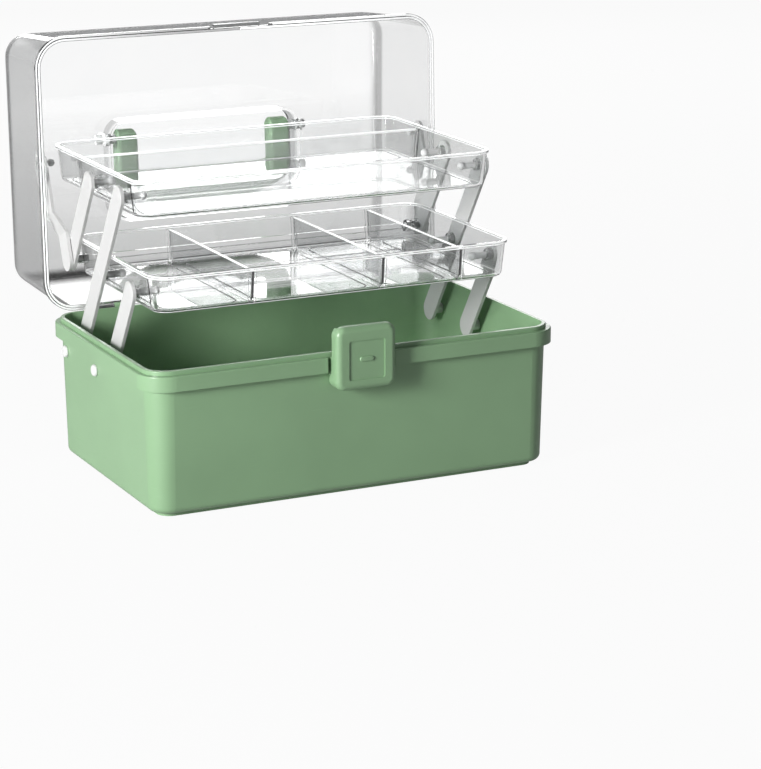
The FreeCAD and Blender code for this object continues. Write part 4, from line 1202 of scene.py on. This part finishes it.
@dataclass
class Studio:
    """Pale floor, soft boxes, white surround and the camera at the photograph's angle.

    The lamps are a low key and a strip from the left, a weak fill, a weak top light and one for the rear.

    Attributes:
        place: the camera's place.
        look: the way it looks.
        lens: focal length in millimetres.
        sensor: width of its sensor in millimetres.
        sight: how far it sees.
        floor_size: side of the floor.
        floor_grey: what the floor gives back of the light.
        white: strength of the white that the camera sees in floor and surround.
        in_gloss: share of that white that mirror reflections show.
        room: strength of the plain room light.
        room_tint: its colour.
        lamps: the soft boxes.
    """

    place: tuple[float, float, float] = (-0.8394, -1.8407, 0.6065)
    look: tuple[float, float, float] = (0.4258, 0.8661, -0.2617)
    lens: float = 131.38
    sensor: float = 36.0
    sight: float = 50.0
    floor_size: float = 12.0
    floor_grey: Colour = (0.52, 0.52, 0.52, 1.0)
    white: float = 0.95
    in_gloss: float = 0.2
    room: float = 0.09
    room_tint: Colour = (0.9, 0.95, 1.0, 1.0)
    lamps: tuple[Lamp, ...] = (
        Lamp("key", (-1.78, -0.75, 0.66), (0.0, 0.0, 0.14), (0.5, 0.5), 42.0),
        Lamp("strip", (-1.62, -0.79, 0.20), (-0.12, -0.08, 0.06), (0.12, 0.36), 6.0),
        Lamp("fill", (0.7, -2.2, 0.45), (0.0, 0.0, 0.06), (1.4, 0.6), 1.2),
        Lamp("top", (-0.1, 0.1, 1.9), (0.0, 0.0, 0.1), (1.4, 1.0), 1.2),
        Lamp("rear", (0.9, 2.1, 0.9), (0.0, 0.0, 0.1), (1.4, 1.0), 14.0),
    )

    def build(self) -> None:
        """Makes camera, floor, surround and lamps."""
        self.camera()
        self.floor()
        self.surround()
        for lamp in self.lamps:
            lamp.build()
        bpy.context.scene.view_settings.view_transform = "Standard"

    def camera(self) -> None:
        """Sets the camera up."""
        data = bpy.data.cameras.new("camera")
        data.sensor_fit = "HORIZONTAL"
        data.sensor_width = self.sensor
        data.lens = self.lens
        data.clip_end = self.sight
        camera = bpy.data.objects.new("camera", data)
        camera.location = self.place
        camera.rotation_euler = Vector(self.look).to_track_quat("-Z", "Y").to_euler()
        bpy.context.scene.collection.objects.link(camera)
        bpy.context.scene.camera = camera

    def floor(self) -> None:
        """A pale floor that the camera sees as white away from shadows."""
        half = self.floor_size / 2
        corners = [(-half, -half, 0.0), (half, -half, 0.0), (half, half, 0.0), (-half, half, 0.0)]
        mesh = bpy.data.meshes.new("floor")
        mesh.from_pydata(corners, [], [(0, 1, 2, 3)])
        material, nodes = new_material("pale_floor")
        lit = nodes.add("ShaderNodeBsdfDiffuse", {"Color": self.floor_grey})
        white = nodes.add("ShaderNodeEmission", {"Color": WHITE_LIGHT, "Strength": 1.0})
        nodes.surface(nodes.mixed(self.seen(nodes) * self.white, lit, white))
        mesh.materials.append(material)
        floor = bpy.data.objects.new("floor", mesh)
        bpy.context.scene.collection.objects.link(floor)

    def seen(self, nodes: Nodes) -> Value:
        """How much of the white a ray sees.

        It is 1 for rays from the camera and through glass, less for gloss, and 0 after a matt bounce.

        Args:
            nodes: the material's or world's nodes.

        Returns:
            A share from 0 to 1.
        """
        camera = nodes.light_path("Is Camera Ray")
        gloss = nodes.light_path("Is Glossy Ray") * self.in_gloss
        direct = (camera + gloss + nodes.light_path("Is Transmission Ray")).clipped()
        return direct * (1.0 - nodes.light_path("Diffuse Depth").clipped())

    def surround(self) -> None:
        """A white surround to look at that gives the object only plain room light."""
        world = bpy.data.worlds.new("surround")
        world.use_nodes = True
        bpy.context.scene.world = world
        nodes = Nodes(world.node_tree)
        white = nodes.add("ShaderNodeBackground", {"Color": WHITE_LIGHT, "Strength": self.white})
        room = nodes.add("ShaderNodeBackground", {"Color": self.room_tint, "Strength": self.room})
        nodes.surface(nodes.mixed(self.seen(nodes), room, white), "ShaderNodeOutputWorld")


# The box

TRAYS = (
    Tray(
        body="lower_tray",
        bays=(
            (-0.132, -0.074, -0.07, 0.07),
            (-0.060, 0.030, -0.07, 0.07),
            (0.044, 0.094, -0.07, 0.07),
            (0.108, 0.132, -0.07, 0.07),
        ),
        dividers=("lower_tray_divider_1", "lower_tray_divider_2", "lower_tray_divider_3"),
        top_rise=0.0006,
    ),
    Tray(
        body="upper_tray",
        bays=((-0.132, 0.132, -0.079, 0.026), (-0.132, 0.132, 0.040, 0.079)),
        dividers=("upper_tray_divider",),
    ),
)


def finish_of(name: str) -> Finish:
    """The finish of a solid.

    Args:
        name: the solid's name.

    Returns:
        Green for tub, latch and handle, clear for lid and trays with greyer dividers as painted shade,
        steel for hinge and latch wires, white for the bars and a paler white for their pins as painted
        light.
    """
    if name in ("base_tub", "latch"):
        return Finish.GREEN
    if name == "handle":
        return Finish.GREEN_HANDLE
    if name == "lid_shell":
        return Finish.CLEAR_LID
    # The lower dividers get the greyer clear plastic, which is painted shade.
    if name.startswith("lower_tray_divider"):
        return Finish.CLEAR_DIVIDER
    if name in ("lower_tray", "upper_tray", "upper_tray_divider"):
        return Finish.CLEAR_TRAY
    if "hinge" in name or name == "latch_pin":
        return Finish.WIRE
    # Pins get the paler white, painted light for the shade that they sit in.
    return Finish.WHITE_PIN if name.endswith("_pin") else Finish.WHITE


def main() -> None:
    """Loads the frame, dresses its solids and builds the sub-assemblies and the studio in order."""
    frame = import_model()
    workshop = Workshop()
    for name, node in frame["nodes"].items():
        workshop.dress(node, finish_of(name))
    for assembly in (Tub(), Latch(), Lid(), *TRAYS, SideBars()):
        assembly.build(workshop)
    Studio().build()


if __name__ == "__main__":
    logging.basicConfig(level=logging.INFO, format="%(message)s")
    main()
